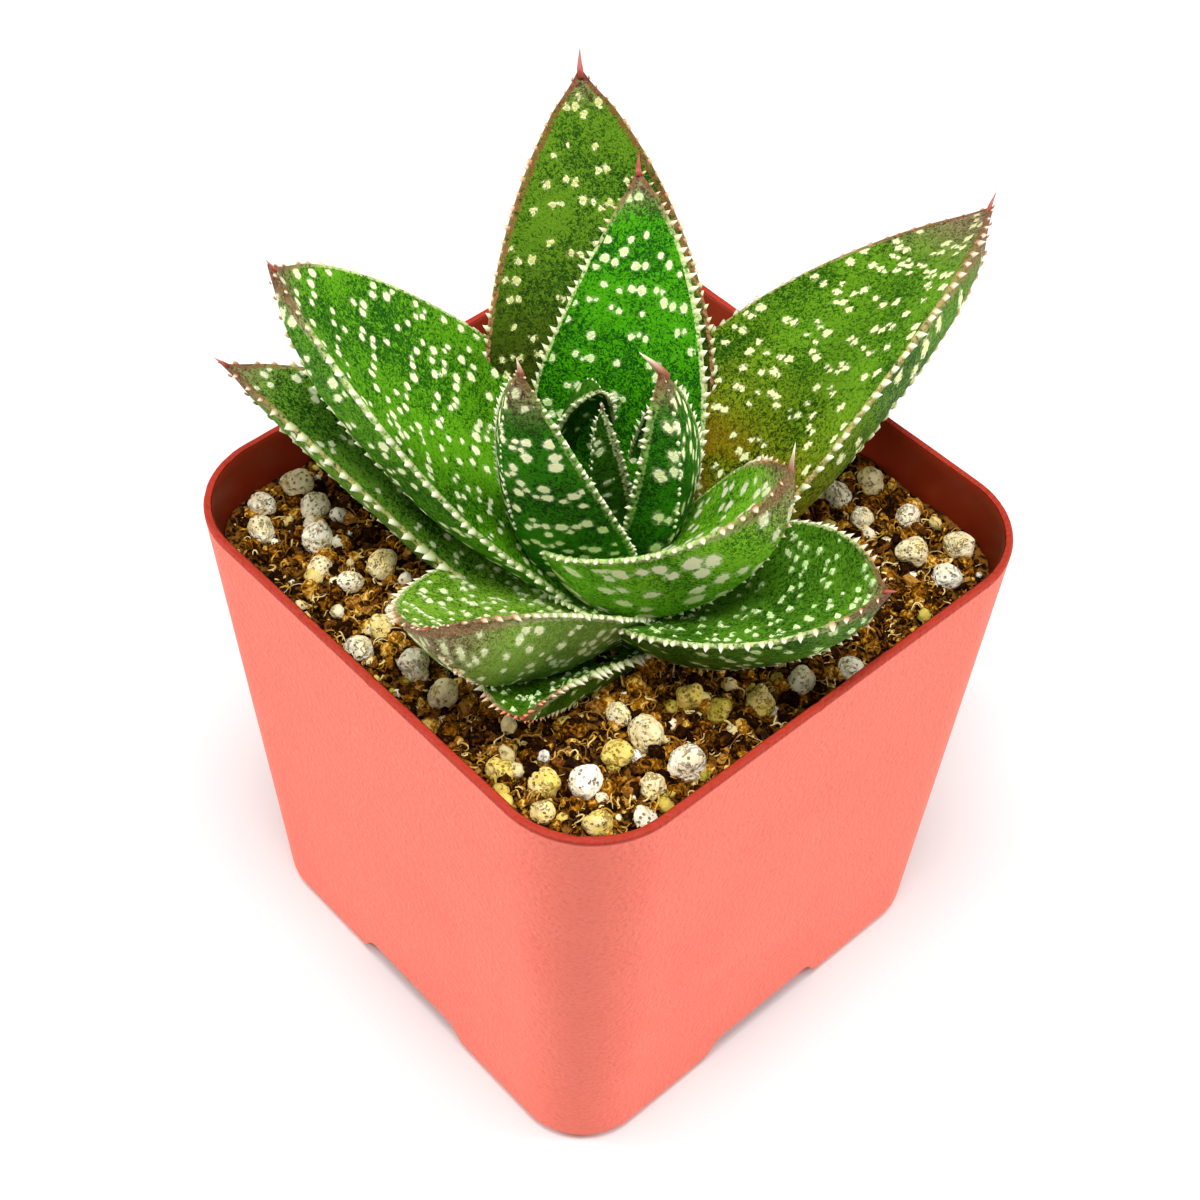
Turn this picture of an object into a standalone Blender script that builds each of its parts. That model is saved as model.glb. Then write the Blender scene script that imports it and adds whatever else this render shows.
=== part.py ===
"""A small aloe rosette growing in a square tapered nursery pot.

Metres, +Z up. The origin is the centre of the pot's underside. The pot, the soil, the
stem with its roots, every leaf and the larger perlite grains are separate solids, and
each keeps a small gap to its neighbours.
"""
import math
import random

import bmesh
import bpy
import numpy as np
from mathutils import Matrix, Vector, noise

MM = 0.001
GAP = 0.3 * MM                  # clearance between neighbouring solids

POT_TOP = 60.0 * MM             # across the rim, flat to flat
POT_BOTTOM = 53.3 * MM          # across the foot, flat to flat
POT_HEIGHT = 58.3 * MM
RIM_CORNER = 9.7 * MM           # corner radius at the rim
FOOT_CORNER = 7.4 * MM          # corner radius at the foot
WALL = 0.8 * MM
FLOOR = 1.0 * MM
FOOT_CHAMFER = 0.5 * MM         # the foot draws in over its last stretch
FOOT_CHAMFER_HEIGHT = 1.4 * MM
CORNER_STEPS = 7

RECESS_HEIGHT = 3.45 * MM       # arch in the middle of each side, under the base
RECESS_TOP = 6.3 * MM           # half width of its flat roof
RECESS_FOOT = 9.5 * MM          # half width where it meets the table
RECESS_DEPTH = 8.0 * MM
DRAIN_RADIUS = 1.8 * MM
DRAIN_SPACING = 5.6 * MM

SOIL_TOP = 52.3 * MM

STEM_X = 1.5 * MM
STEM_Y = -0.6 * MM
STEM_RADIUS = 3.3 * MM
STEM_TOP = 56.0 * MM
STEM_BASE = 45.5 * MM
ROOT_COUNT = 7
ROOT_RADIUS = 1.1 * MM
ROOT_DROP = 31.0 * MM
ROOT_SPREAD = 15.0 * MM

GRAIN_SINK = 0.28               # share of a grain's height that its flat seat takes off

# Leaves from the heart outwards. Angles in degrees, lengths in millimetres.
# heading: compass of the leaf's base from +X towards +Y, and how far it turns to the tip
# rise: slope over the horizontal at the base and at the tip
# roll: twist about the midrib at the base and at the tip, positive lifts the left margin
# keel: place of the back's ridge, from -1 at the left margin to 1 at the right
# hollow: depth of the channel along the upper face; full: how late the blade tapers
LEAVES = {
    "leaf_heart_spear": dict(heading=(-81, -2), rise=(78, 82), roll=(0, 2), length=18,
                             width=5, thick=2.6, keel=0.0, hollow=0.3, full=2.4, neck=0.8,
                             base=(1.2, 0.4, 57.3)),
    "leaf_heart_hooded": dict(heading=(169, -4), rise=(47, 131), roll=(-2, -9), length=18,
                              width=7, thick=1.8, keel=0.2, hollow=2.0, full=3.2, neck=0.8,
                              base=(-0.9, 0.0, 56.5)),
    "leaf_heart_small": dict(heading=(81, 5), rise=(71, 96), roll=(1, 3), length=15.5,
                             width=7, thick=1.6, keel=0.2, hollow=1.0, full=2.6, neck=0.8,
                             base=(2.2, 1.6, 57.3)),
    "leaf_inner_right": dict(heading=(3, 3), rise=(62, 108), roll=(-3, -1), length=27,
                             width=10, thick=3.0, keel=0.4, hollow=0.4, full=3.3, neck=0.8,
                             base=(3.4, -0.1, 54.6)),
    "leaf_inner_left": dict(heading=(-84, -12), rise=(67, 80), roll=(19, 4), length=35,
                            width=14.5, thick=3.2, keel=0.3, hollow=1.1, full=3.3, neck=0.8,
                            base=(2.4, -3.1, 52.6)),
    "leaf_centre_tall": dict(heading=(112, 29), rise=(88, 23), roll=(-6, -23), length=36.5,
                             width=20, thick=4.0, keel=0.2, hollow=1.5, full=2.1, neck=0.8,
                             base=(-0.9, 0.5, 55.0)),
    "leaf_front_sweeping": dict(heading=(-20, 70), rise=(39, 44), roll=(-19, -8), length=32.5,
                                width=16.5, thick=5.2, keel=0.1, hollow=3.1, full=4.3,
                                neck=0.7, base=(-2.3, -2.9, 56.0)),
    "leaf_back_tall": dict(heading=(142, 5), rise=(60, 45), roll=(0, -2), length=44.5,
                           width=23.5, thick=4.0, keel=0.2, hollow=1.5, full=2.8, neck=0.8,
                           base=(-2.1, 1.7, 52.9)),
    "leaf_right_low": dict(heading=(0, 20), rise=(34, 26), roll=(-13, 13), length=35.5,
                           width=19.5, thick=5.0, keel=0.3, hollow=3.0, full=4.2, neck=0.8,
                           base=(1.6, -2.2, 53.5)),
    "leaf_front_left": dict(heading=(-105, 42), rise=(28, 33), roll=(12, 22), length=35,
                            width=19.5, thick=5.5, keel=-0.1, hollow=2.6, full=4.7, neck=0.7,
                            base=(6.0, 0.4, 53.0)),
    "leaf_left_upper": dict(heading=(211, 26), rise=(42, 50), roll=(3, -3), length=46.5,
                            width=25, thick=5.6, keel=-0.5, hollow=1.4, full=3.6, neck=0.8,
                            base=(2.6, 0.7, 53.5)),
    "leaf_right_large": dict(heading=(83, 4), rise=(54, 3), roll=(-1, -30), length=52.5,
                             width=24, thick=5.5, keel=0.7, hollow=1.6, full=3.8, neck=0.8,
                             base=(3.1, -1.0, 52.4)),
    "leaf_left_lower": dict(heading=(207, 14), rise=(40, 21), roll=(-1, 1), length=40.5,
                            width=21, thick=5.2, keel=-0.5, hollow=1.6, full=2.1, neck=0.8,
                            base=(1.0, -3.9, 51.7)),
    "leaf_front_low": dict(heading=(-85, 49), rise=(4, 36), roll=(4, 14), length=26.5,
                           width=20.5, thick=3.5, keel=-0.5, hollow=2.8, full=1.3, neck=0.9,
                           base=(4.9, -3.8, 53.6)),
}
LEAF_STATIONS = (0.0, 0.07, 0.16, 0.27, 0.38, 0.5, 0.62, 0.73, 0.83, 0.91, 0.97)
LEAF_EDGE = 0.25                # half thickness of the blunt margin, millimetres

# Larger perlite grains on the soil: x, y and diameter, millimetres.
GRAINS = (
    (23.4, -2.2, 3.2), (21.6, -5.9, 2.8), (18.8, -6.8, 3.2), (16.0, -13.0, 2.8),
    (19.5, -12.8, 3.6), (24.2, -12.3, 3.8), (19.4, -16.2, 3.0), (24.0, -16.2, 3.0),
    (26.0, -19.2, 2.8), (19.8, -20.4, 3.4), (17.4, -23.2, 3.2), (23.8, -22.6, 2.8),
    (14.0, -25.4, 3.2), (19.8, -25.4, 2.8), (4.0, -23.4, 3.2), (-0.4, -23.3, 3.4),
    (-5.2, -26.0, 3.0), (-6.3, -22.7, 2.8), (-12.3, -17.7, 3.2), (-12.5, -21.4, 2.8),
    (-15.9, -22.4, 2.8), (-19.0, -20.5, 3.6), (-22.5, -18.1, 3.4), (-26.2, -17.4, 3.4),
    (-26.2, -21.6, 3.0), (-23.4, -24.0, 3.4), (10.6, 26.0, 3.4), (16.3, 25.1, 3.0),
    (22.4, 25.8, 3.4), (9.8, 22.0, 3.0), (13.6, 21.4, 3.0), (19.8, 21.8, 3.2),
    (24.4, 21.8, 3.4), (26.3, 6.7, 3.0), (24.0, 2.1, 3.0), (-25.6, 24.4, 3.2),
    (-18.0, 25.6, 3.0), (-25.8, 17.2, 2.8),
)


# ---------------------------------------------------------------- scene and materials
for old in list(bpy.data.objects):
    bpy.data.objects.remove(old, do_unlink=True)


def collection(name):
    made = bpy.data.collections.new(name)
    bpy.context.scene.collection.children.link(made)
    return made


PLANT = collection("potted_aloe_plant")
CUTTERS = collection("cutters")


def material(name, colour, roughness):
    made = bpy.data.materials.new(name)
    made.use_nodes = True
    shader = made.node_tree.nodes["Principled BSDF"]
    shader.inputs["Base Color"].default_value = (*colour, 1.0)
    shader.inputs["Roughness"].default_value = roughness
    shader.inputs["Metallic"].default_value = 0.0
    return made


POT_PLASTIC = material("coral_plastic", (0.90, 0.22, 0.16), 0.55)
PEAT = material("peat", (0.06, 0.035, 0.02), 0.95)
ROOT_SKIN = material("root_skin", (0.45, 0.34, 0.20), 0.80)
LEAF_SKIN = material("leaf_skin", (0.05, 0.20, 0.03), 0.45)
PERLITE = material("perlite", (0.85, 0.83, 0.74), 0.90)


def add_object(name, mesh, finish=None, home=PLANT):
    made = bpy.data.objects.new(name, mesh)
    home.objects.link(made)
    if finish is not None:
        mesh.materials.clear()
        mesh.materials.append(finish)
    if home is CUTTERS:
        made.hide_render = True
        made.display_type = "WIRE"
    return made


def shade_round(mesh, angle=math.radians(40)):
    mesh.shade_smooth()
    mesh.set_sharp_from_angle(angle=angle)


def cut(target, cutter, operation="DIFFERENCE", solver="MANIFOLD"):
    """Boolean of two closed meshes; the arches and roots need the manifold solver."""
    step = target.modifiers.new(cutter.name, "BOOLEAN")
    step.operation = operation
    step.solver = solver
    step.object = cutter


def evaluated_mesh(source):
    bpy.context.view_layer.update()
    graph = bpy.context.evaluated_depsgraph_get()
    return bpy.data.meshes.new_from_object(source.evaluated_get(graph))


def bake(target):
    """Replace the object's mesh by its evaluated one and drop its modifiers."""
    mesh = evaluated_mesh(target)
    target.modifiers.clear()
    target.data = mesh
    return target


# ------------------------------------------------------------------------- loft helper
def loft(name, rings, tip=None):
    """Closed mesh through rings of equal length, with flat caps or a pointed end."""
    shape = bmesh.new()
    rows = [[shape.verts.new(point) for point in ring] for ring in rings]
    count = len(rows[0])
    for low, high in zip(rows, rows[1:]):
        for i in range(count):
            j = (i + 1) % count
            shape.faces.new((low[i], low[j], high[j], high[i]))
    shape.faces.new(list(reversed(rows[0])))
    if tip is None:
        shape.faces.new(rows[-1])
    else:
        point = shape.verts.new(tip)
        for i in range(count):
            shape.faces.new((rows[-1][i], rows[-1][(i + 1) % count], point))
    bmesh.ops.triangulate(shape, faces=shape.faces)
    bmesh.ops.recalc_face_normals(shape, faces=shape.faces)
    mesh = bpy.data.meshes.new(name)
    shape.to_mesh(mesh)
    shape.free()
    return mesh


def rounded_square(half, radius, z):
    """Points of a square with quarter-circle corners, anticlockwise, at one height."""
    points = []
    for corner in range(4):
        middle = math.radians(45 + 90 * corner)
        reach = (half - radius) * math.sqrt(2)
        cx = reach * math.cos(middle)
        cy = reach * math.sin(middle)
        for step in range(CORNER_STEPS + 1):
            angle = math.radians(90 * corner + 90 * step / CORNER_STEPS)
            points.append((cx + radius * math.cos(angle), cy + radius * math.sin(angle), z))
    return points


def pot_ring(z, inset):
    """Outline of the tapered pot at height z, drawn in by inset."""
    share = z / POT_HEIGHT
    half = (POT_BOTTOM + (POT_TOP - POT_BOTTOM) * share) / 2
    radius = FOOT_CORNER + (RIM_CORNER - FOOT_CORNER) * share
    return rounded_square(half - inset, radius - inset, z)


# --------------------------------------------------------------------------------- pot
def recess_cutters(grow, label):
    """Four arches under the middles of the sides, made larger by grow all round."""
    steps = 6
    outline = [(RECESS_FOOT + grow, -2 * MM)]
    for i in range(steps + 1):
        turn = i / steps
        ease = turn * turn * (3 - 2 * turn)
        outline.append((RECESS_FOOT + grow - (RECESS_FOOT - RECESS_TOP) * turn,
                        (RECESS_HEIGHT + grow) * ease))
    outline += [(-x, z) for x, z in reversed(outline)]
    outer = -POT_TOP / 2 - 5 * MM
    inner = -POT_BOTTOM / 2 + RECESS_DEPTH + grow
    made = []
    for side in range(4):
        turn = Matrix.Rotation(math.radians(90 * side), 3, "Z")
        rings = [[turn @ Vector((x, y, z)) for x, z in outline] for y in (outer, inner)]
        mesh = loft(f"{label}_{side + 1}", rings)
        made.append(add_object(f"{label}_{side + 1}", mesh, home=CUTTERS))
    return made


def tapered_block(name, low, high, inset, home, finish=None):
    rings = [pot_ring(low, inset), pot_ring(high, inset)]
    return add_object(name, loft(name, rings), finish, home)


def drain_holes():
    """Two round holes through the roof of each arch."""
    made = []
    for side in range(4):
        turn = Matrix.Rotation(math.radians(90 * side), 4, "Z")
        for hand in (-1, 1):
            place = Vector((hand * DRAIN_SPACING / 2, -POT_BOTTOM / 2 + RECESS_DEPTH / 2,
                            RECESS_HEIGHT))
            shape = bmesh.new()
            bmesh.ops.create_cone(shape, cap_ends=True, segments=16, radius1=DRAIN_RADIUS,
                                  radius2=DRAIN_RADIUS, depth=6 * MM,
                                  matrix=turn @ Matrix.Translation(place))
            mesh = bpy.data.meshes.new("drain_hole")
            shape.to_mesh(mesh)
            shape.free()
            made.append(add_object(f"drain_hole_{len(made) + 1}", mesh, home=CUTTERS))
    return made


def build_pot():
    rings = [pot_ring(0.0, FOOT_CHAMFER), pot_ring(FOOT_CHAMFER_HEIGHT, 0.0),
             pot_ring(POT_HEIGHT, 0.0)]
    pot = add_object("pot", loft("pot", rings), POT_PLASTIC)
    cavity = tapered_block("pot_cavity", FLOOR, POT_HEIGHT + 2 * MM, WALL, CUTTERS)
    for arch in recess_cutters(WALL, "arch_inside"):
        cut(cavity, arch)
    for arch in recess_cutters(0.0, "arch_outside"):
        cut(pot, arch)
    cut(pot, cavity)
    for hole in drain_holes():
        cut(pot, hole)
    bake(pot)
    shade_round(pot.data, math.radians(30))


# ---------------------------------------------------------------------- stem and roots
def turned(name, profile, home):
    """Solid of revolution about the stem's axis from a profile run top to bottom."""
    mesh = bpy.data.meshes.new(name)
    mesh.from_pydata([(r, 0.0, z) for r, z in profile], [(i, i + 1) for i in
                     range(len(profile) - 1)], [])
    made = add_object(name, mesh, home=home)
    made.location = (STEM_X, STEM_Y, 0.0)
    screw = made.modifiers.new("turn", "SCREW")
    screw.steps = 14
    screw.render_steps = 14
    screw.use_merge_vertices = True
    screw.merge_threshold = 0.00001
    return made


def root(name, bearing, grow):
    """One tapering root from the stem's foot, out and down through the soil."""
    line = bpy.data.curves.new(name, "CURVE")
    line.dimensions = "3D"
    line.bevel_depth = ROOT_RADIUS + grow
    line.bevel_resolution = 1
    line.use_fill_caps = True
    spline = line.splines.new("POLY")
    steps = 6
    spline.points.add(steps - 1)
    for i, point in enumerate(spline.points):
        share = i / (steps - 1)
        out = 0.8 * MM + ROOT_SPREAD * share ** 0.8
        swing = bearing + 0.5 * math.sin(2.6 * share + bearing)
        point.co = (STEM_X + out * math.cos(swing), STEM_Y + out * math.sin(swing),
                    STEM_BASE + 3 * MM - ROOT_DROP * share ** 1.3, 1.0)
        point.radius = (ROOT_RADIUS * (1 - 0.6 * share) + grow) / (ROOT_RADIUS + grow)
    curve_object = add_object(name, line, home=CUTTERS)
    mesh = evaluated_mesh(curve_object)
    shape = bmesh.new()
    shape.from_mesh(mesh)
    bmesh.ops.remove_doubles(shape, verts=shape.verts, dist=0.00001)
    bmesh.ops.recalc_face_normals(shape, faces=shape.faces)
    shape.to_mesh(mesh)
    shape.free()
    bpy.data.objects.remove(curve_object)
    return add_object(name, mesh, home=CUTTERS)


def stem_with_roots(name, grow, home):
    """The short stem and its roots as one body, made larger by grow all round."""
    profile = [(0.0, STEM_TOP + grow), (STEM_RADIUS * 0.55 + grow, STEM_TOP + grow),
               (STEM_RADIUS * 0.8 + grow, STEM_TOP - 1.0 * MM),
               (STEM_RADIUS + grow, STEM_TOP - 4.0 * MM),
               (STEM_RADIUS * 0.9 + grow, STEM_BASE + 1.5 * MM),
               (STEM_RADIUS * 0.5 + grow, STEM_BASE - grow), (0.0, STEM_BASE - grow)]
    stem = turned(name, profile, home)
    for i in range(ROOT_COUNT):
        bearing = 2 * math.pi * i / ROOT_COUNT + 0.4
        cut(stem, root(f"{name}_root_{i + 1}", bearing, grow), "UNION")
    bake(stem)
    shade_round(stem.data)
    return stem


def build_stem():
    stem = stem_with_roots("stem_and_roots", 0.0, PLANT)
    stem.data.materials.clear()
    stem.data.materials.append(ROOT_SKIN)


# -------------------------------------------------------------------------------- soil
def build_soil():
    """The root ball's soil fills the pot to just under the rim."""
    soil = tapered_block("soil", FLOOR + GAP, SOIL_TOP, WALL + GAP, PLANT, PEAT)
    for arch in recess_cutters(WALL + GAP, "arch_soil"):
        cut(soil, arch)
    cut(soil, stem_with_roots("root_space", GAP, CUTTERS))
    bake(soil)
    shade_round(soil.data, math.radians(30))


# ------------------------------------------------------------------------------ leaves
def smooth_step(x):
    x = np.clip(x, 0.0, 1.0)
    return x * x * (3 - 2 * x)


def leaf_frame(leaf, s):
    """Midrib points and the leaf's own across and up directions at fractions s."""
    fine = np.linspace(0, 1, 101)

    def direction(t):
        turn = np.radians(leaf["heading"][0] + leaf["heading"][1] * t)
        rise = np.radians(leaf["rise"][0] + (leaf["rise"][1] - leaf["rise"][0]) * t)
        along = np.stack([np.cos(turn) * np.cos(rise), np.sin(turn) * np.cos(rise),
                          np.sin(rise)], axis=-1)
        up = np.stack([-np.cos(turn) * np.sin(rise), -np.sin(turn) * np.sin(rise),
                       np.cos(rise)], axis=-1)
        return along, up

    steps, _ = direction((fine[1:] + fine[:-1]) / 2)
    path = np.vstack([np.zeros(3), np.cumsum(steps, axis=0)]) * leaf["length"] / 100
    place = np.stack([np.interp(s, fine, path[:, i]) for i in range(3)], axis=-1)
    place += np.array(leaf["base"])
    along, up = direction(s)
    across = np.cross(along, up)
    roll = np.radians(leaf["roll"][0] + (leaf["roll"][1] - leaf["roll"][0]) * s)[:, None]
    return (place, across * np.cos(roll) - up * np.sin(roll),
            up * np.cos(roll) + across * np.sin(roll))


def leaf_rings(leaf, grow):
    """Rings round the blade: upper face from left to right, then back along the keel."""
    s = np.array(LEAF_STATIONS)
    place, across, up = leaf_frame(leaf, s)
    shape = (1 - s ** leaf["full"])
    shape = shape * (leaf["neck"] + (1 - leaf["neck"]) * smooth_step(s / 0.45))
    upper = np.array([-1, -0.5, 0, 0.5, 1])
    keel = leaf["keel"]
    lower = np.array([1, (1 + keel) / 2, keel, (keel - 1) / 2, -1])
    u = np.concatenate([upper, lower])
    channel = -leaf["hollow"] * (1 - u * u) * shape[:, None]
    ridge = np.where(u < keel, 1 - np.abs((u - keel) / (1 + keel)) ** 1.4,
                     1 - np.abs((u - keel) / (1 - keel)) ** 1.4)
    below = leaf["thick"] * ridge * (shape ** 0.8)[:, None]
    edge = LEAF_EDGE * np.minimum(1, 2.5 * shape)[:, None] + grow
    front = np.arange(u.size) < upper.size
    height = np.where(front, channel + edge, channel - below - edge)
    half = (leaf["width"] * shape / 2 + grow)[:, None]
    rings = (place[:, None] + across[:, None] * (u * half)[..., None]
             + up[:, None] * height[..., None])
    tip, _, _ = leaf_frame(leaf, np.array([1.0 + grow / leaf["length"]]))
    return rings * MM, tip[0] * MM


def leaf_mesh(name, leaf, grow=0.0):
    rings, tip = leaf_rings(leaf, grow)
    return loft(name, rings.tolist(), tip.tolist())


def keep_largest(mesh):
    """Keep the largest loose piece, where trimming has left crumbs at the leaf's base."""
    shape = bmesh.new()
    shape.from_mesh(mesh)
    bmesh.ops.remove_doubles(shape, verts=shape.verts, dist=0.0000005)
    waiting = set(shape.verts)
    pieces = []
    while waiting:
        piece = {waiting.pop()}
        edge_of_piece = list(piece)
        while edge_of_piece:
            vert = edge_of_piece.pop()
            for edge in vert.link_edges:
                other = edge.other_vert(vert)
                if other in waiting:
                    waiting.discard(other)
                    piece.add(other)
                    edge_of_piece.append(other)
        pieces.append(piece)
    keep = max(pieces, key=len)
    loose = [vert for vert in shape.verts if vert not in keep]
    bmesh.ops.delete(shape, geom=loose, context="VERTS")
    bmesh.ops.triangulate(shape, faces=shape.faces)
    shape.to_mesh(mesh)
    shape.free()


def ground_cutter():
    """A slab that takes off whatever would lie in the soil."""
    half = POT_TOP
    corners = [(-half, -half), (half, -half), (half, half), (-half, half)]
    rings = [[(x, y, z) for x, y in corners] for z in (SOIL_TOP - 20 * MM, SOIL_TOP + GAP)]
    return add_object("ground", loft("ground", rings), home=CUTTERS)


def build_leaves():
    """Each leaf is trimmed back from the stem, the soil and the leaves inside it."""
    inner = [ground_cutter(), stem_with_roots("stem_space", GAP, CUTTERS)]
    for name, leaf in LEAVES.items():
        blade = add_object(name, leaf_mesh(name, leaf), LEAF_SKIN)
        for cutter in inner:
            cut(blade, cutter, solver="EXACT")
        bake(blade)
        keep_largest(blade.data)
        shade_round(blade.data)
        space = leaf_mesh(f"{name}_space", leaf, GAP / MM)
        inner.append(add_object(f"{name}_space", space, home=CUTTERS))


# ------------------------------------------------------------------------------ grains
def inside_wall(x, y, radius):
    """Move a grain in from the pot's wall, also in the rounded corners."""
    wall_half = (POT_BOTTOM + (POT_TOP - POT_BOTTOM) * SOIL_TOP / POT_HEIGHT) / 2 - WALL
    corner = RIM_CORNER - 2 * WALL
    room = wall_half - radius - GAP
    x = max(-room, min(room, x))
    y = max(-room, min(room, y))
    cx = wall_half - corner
    away = Vector((abs(x) - cx, abs(y) - cx))
    reach = corner - radius - GAP
    if away.x > 0 and away.y > 0 and away.length > reach:
        away *= reach / away.length
        x = math.copysign(cx + away.x, x)
        y = math.copysign(cx + away.y, y)
    return x, y


def grain_mesh(name, size, seed):
    """A lumpy pebble with a flat seat."""
    shape = bmesh.new()
    bmesh.ops.create_icosphere(shape, subdivisions=2, radius=0.5)
    pick = random.Random(seed)
    squash = Vector((1.0, pick.uniform(0.84, 0.96), pick.uniform(0.76, 0.9)))
    shift = Vector((seed * 3.1, seed * 1.7, 0.0))
    spin = Matrix.Rotation(pick.uniform(0, math.tau), 3, "Z")
    for vert in shape.verts:
        lump = 0.94 + 0.12 * noise.noise(vert.co * 2.4 + shift)
        point = spin @ Vector((a * b * lump for a, b in zip(vert.co, squash)))
        point.z = max(point.z, GRAIN_SINK - 0.5)
        vert.co = point * size
    mesh = bpy.data.meshes.new(name)
    shape.to_mesh(mesh)
    shape.free()
    return mesh


def build_grains():
    for i, (x, y, diameter) in enumerate(GRAINS):
        size = diameter * MM
        x, y = inside_wall(x * MM, y * MM, size / 2)
        name = f"perlite_{i + 1:02d}"
        grain = add_object(name, grain_mesh(name, size, i + 1), PERLITE)
        grain.location = (x, y, SOIL_TOP + GAP + size * (0.5 - GRAIN_SINK))
        shade_round(grain.data, math.radians(60))


build_pot()
build_stem()
build_soil()
build_leaves()
build_grains()
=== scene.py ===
"""A small spotted aloe in a square coral nursery pot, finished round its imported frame."""
import math

import bmesh
import bpy
import numpy as np
from mathutils import Matrix, Vector


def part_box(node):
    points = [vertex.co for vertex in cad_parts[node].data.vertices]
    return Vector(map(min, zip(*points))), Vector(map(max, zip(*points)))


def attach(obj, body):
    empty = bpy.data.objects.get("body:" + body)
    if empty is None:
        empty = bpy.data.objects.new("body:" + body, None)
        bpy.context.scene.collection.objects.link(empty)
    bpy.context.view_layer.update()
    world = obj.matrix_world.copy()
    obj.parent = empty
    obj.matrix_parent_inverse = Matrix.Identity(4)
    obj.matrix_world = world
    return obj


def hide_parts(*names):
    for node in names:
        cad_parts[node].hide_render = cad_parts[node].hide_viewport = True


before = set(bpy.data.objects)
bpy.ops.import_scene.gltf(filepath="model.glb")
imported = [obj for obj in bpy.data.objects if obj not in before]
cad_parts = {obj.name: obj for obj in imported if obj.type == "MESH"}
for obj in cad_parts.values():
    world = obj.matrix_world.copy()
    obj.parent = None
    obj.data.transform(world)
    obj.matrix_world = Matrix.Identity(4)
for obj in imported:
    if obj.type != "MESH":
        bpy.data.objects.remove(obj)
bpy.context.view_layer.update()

# ------------------------------------------------------------------------------ the pot
# A thin square nursery pot of moulded polypropylene, tapered, with rounded corners and
# an arch in the foot of each side for water to run out. The outside has the mould's fine
# orange-peel grain, and the rim is a bare edge with small nicks.
MM = 0.001
POT_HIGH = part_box("pot")[1]
POT_HEIGHT = POT_HIGH.z
RIM_HALF = POT_HIGH.x
FOOT_HALF = 26.65 * MM
RIM_CORNER = 9.7 * MM
FOOT_CORNER = 7.4 * MM
WALL = 0.85 * MM
ARCH_HEIGHT = 3.45 * MM
ARCH_TOP = 6.3 * MM
ARCH_FOOT = 9.5 * MM
ARCH_DEPTH = 8.0 * MM
EDGE_ROUND = 0.24 * MM
POT_FLOOR = 1.0 * MM
DRAIN_RADIUS = 1.8 * MM
DRAIN_ASIDE = 2.8 * MM          # from the middle of its arch
DRAIN_INWARD = 4.0 * MM         # from the foot's outside
SIDE_POINTS = 72                # round one straight side of the pot
CORNER_POINTS = 18
CORAL = (0.93, 0.196, 0.132, 1.0)
CORAL_CLOUD = (0.88, 0.158, 0.105, 1.0)
CORAL_DEEP = (0.74, 0.125, 0.075, 1.0)
# painted shade: dark red on the rim's top, and darker still over the inside
CORAL_RIM_SHADE = (0.38, 0.028, 0.012, 1.0)
CORAL_INSIDE_SHADE = (0.25, 0.024, 0.007, 1.0)


def ease(x):
    """Smooth step from 0 to 1."""
    x = np.clip(x, 0.0, 1.0)
    return x * x * (3 - 2 * x)


def lumps(points, size, seed):
    """Smooth random values from -1 to 1 that vary over about size: a random value at each
    lattice corner, eased between the corners."""
    table = np.random.default_rng(seed).uniform(-1, 1, (32, 32, 32))
    scaled = np.asarray(points, float) / size
    cell = np.floor(scaled).astype(int)
    share = ease(scaled - cell)
    total = 0.0
    for corner in np.ndindex(2, 2, 2):
        weight = np.prod(np.where(corner, share, 1 - share), axis=-1)
        near = (cell + corner) % 32
        total = total + weight * table[near[..., 0], near[..., 1], near[..., 2]]
    return total


def ring_quads(rows, around):
    """Quads between neighbouring rings of points, each ring closed on itself."""
    i = np.arange(rows - 1)[:, None] * around
    j = np.arange(around)[None, :]
    k = (j + 1) % around
    return np.stack([i + j, i + k, i + around + k, i + around + j], axis=-1).reshape(-1, 4)


def fan(ring, centre, flip=False):
    """Triangles from a closed ring of point numbers to a centre point."""
    other = np.roll(ring, -1)
    pair = (other, ring) if flip else (ring, other)
    return np.stack([*pair, np.full_like(ring, centre)], axis=-1)


def piece(name, points, faces, caps=(), smooth=True, facing=True):
    """One new object at the origin from points in metres, its faces and its end caps."""
    mesh = bpy.data.meshes.new(name)
    corners = np.asarray(faces).tolist() + np.asarray(caps).tolist()
    mesh.from_pydata(np.asarray(points, float).reshape(-1, 3), [], corners)
    if facing:
        shape = bmesh.new()
        shape.from_mesh(mesh)
        bmesh.ops.recalc_face_normals(shape, faces=shape.faces)
        shape.to_mesh(mesh)
        shape.free()
    mesh.polygons.foreach_set("use_smooth", np.full(len(mesh.polygons), smooth))
    mesh.update()
    made = bpy.data.objects.new(name, mesh)
    bpy.context.scene.collection.objects.link(made)
    return made


def shut_rings(name, rings, start, end):
    """A piece from a stack of closed rings, shut by a fan to a point at each end."""
    rows, around = rings.shape[:2]
    total = rows * around
    return piece(name, np.vstack([rings.reshape(-1, 3), start, end]),
                 ring_quads(rows, around),
                 np.vstack([fan(np.arange(around), total, True),
                            fan(np.arange(total - around, total), total + 1)]))


def paint(made, **fields):
    """Stores one number per point of the piece under each name, for its material."""
    for name, values in fields.items():
        layer = made.data.attributes.new(name, "FLOAT", "POINT")
        layer.data.foreach_set("value", np.asarray(values, np.float32).ravel())


def node(tree, kind, inputs=None, **settings):
    """Adds a shader node, sets its options, and fills or wires its inputs."""
    made = tree.nodes.new(kind)
    for key, value in settings.items():
        setattr(made, key, value)
    for key, value in (inputs or {}).items():
        if isinstance(value, bpy.types.NodeSocket):
            tree.links.new(value, made.inputs[key])
        else:
            made.inputs[key].default_value = value
    return made


def maths(tree, operation, first, second=0.0, third=0.0, clamp=False):
    """One sum on numbers or sockets."""
    made = node(tree, "ShaderNodeMath", {0: first, 1: second, 2: third},
                operation=operation, use_clamp=clamp)
    return made.outputs[0]


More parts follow.
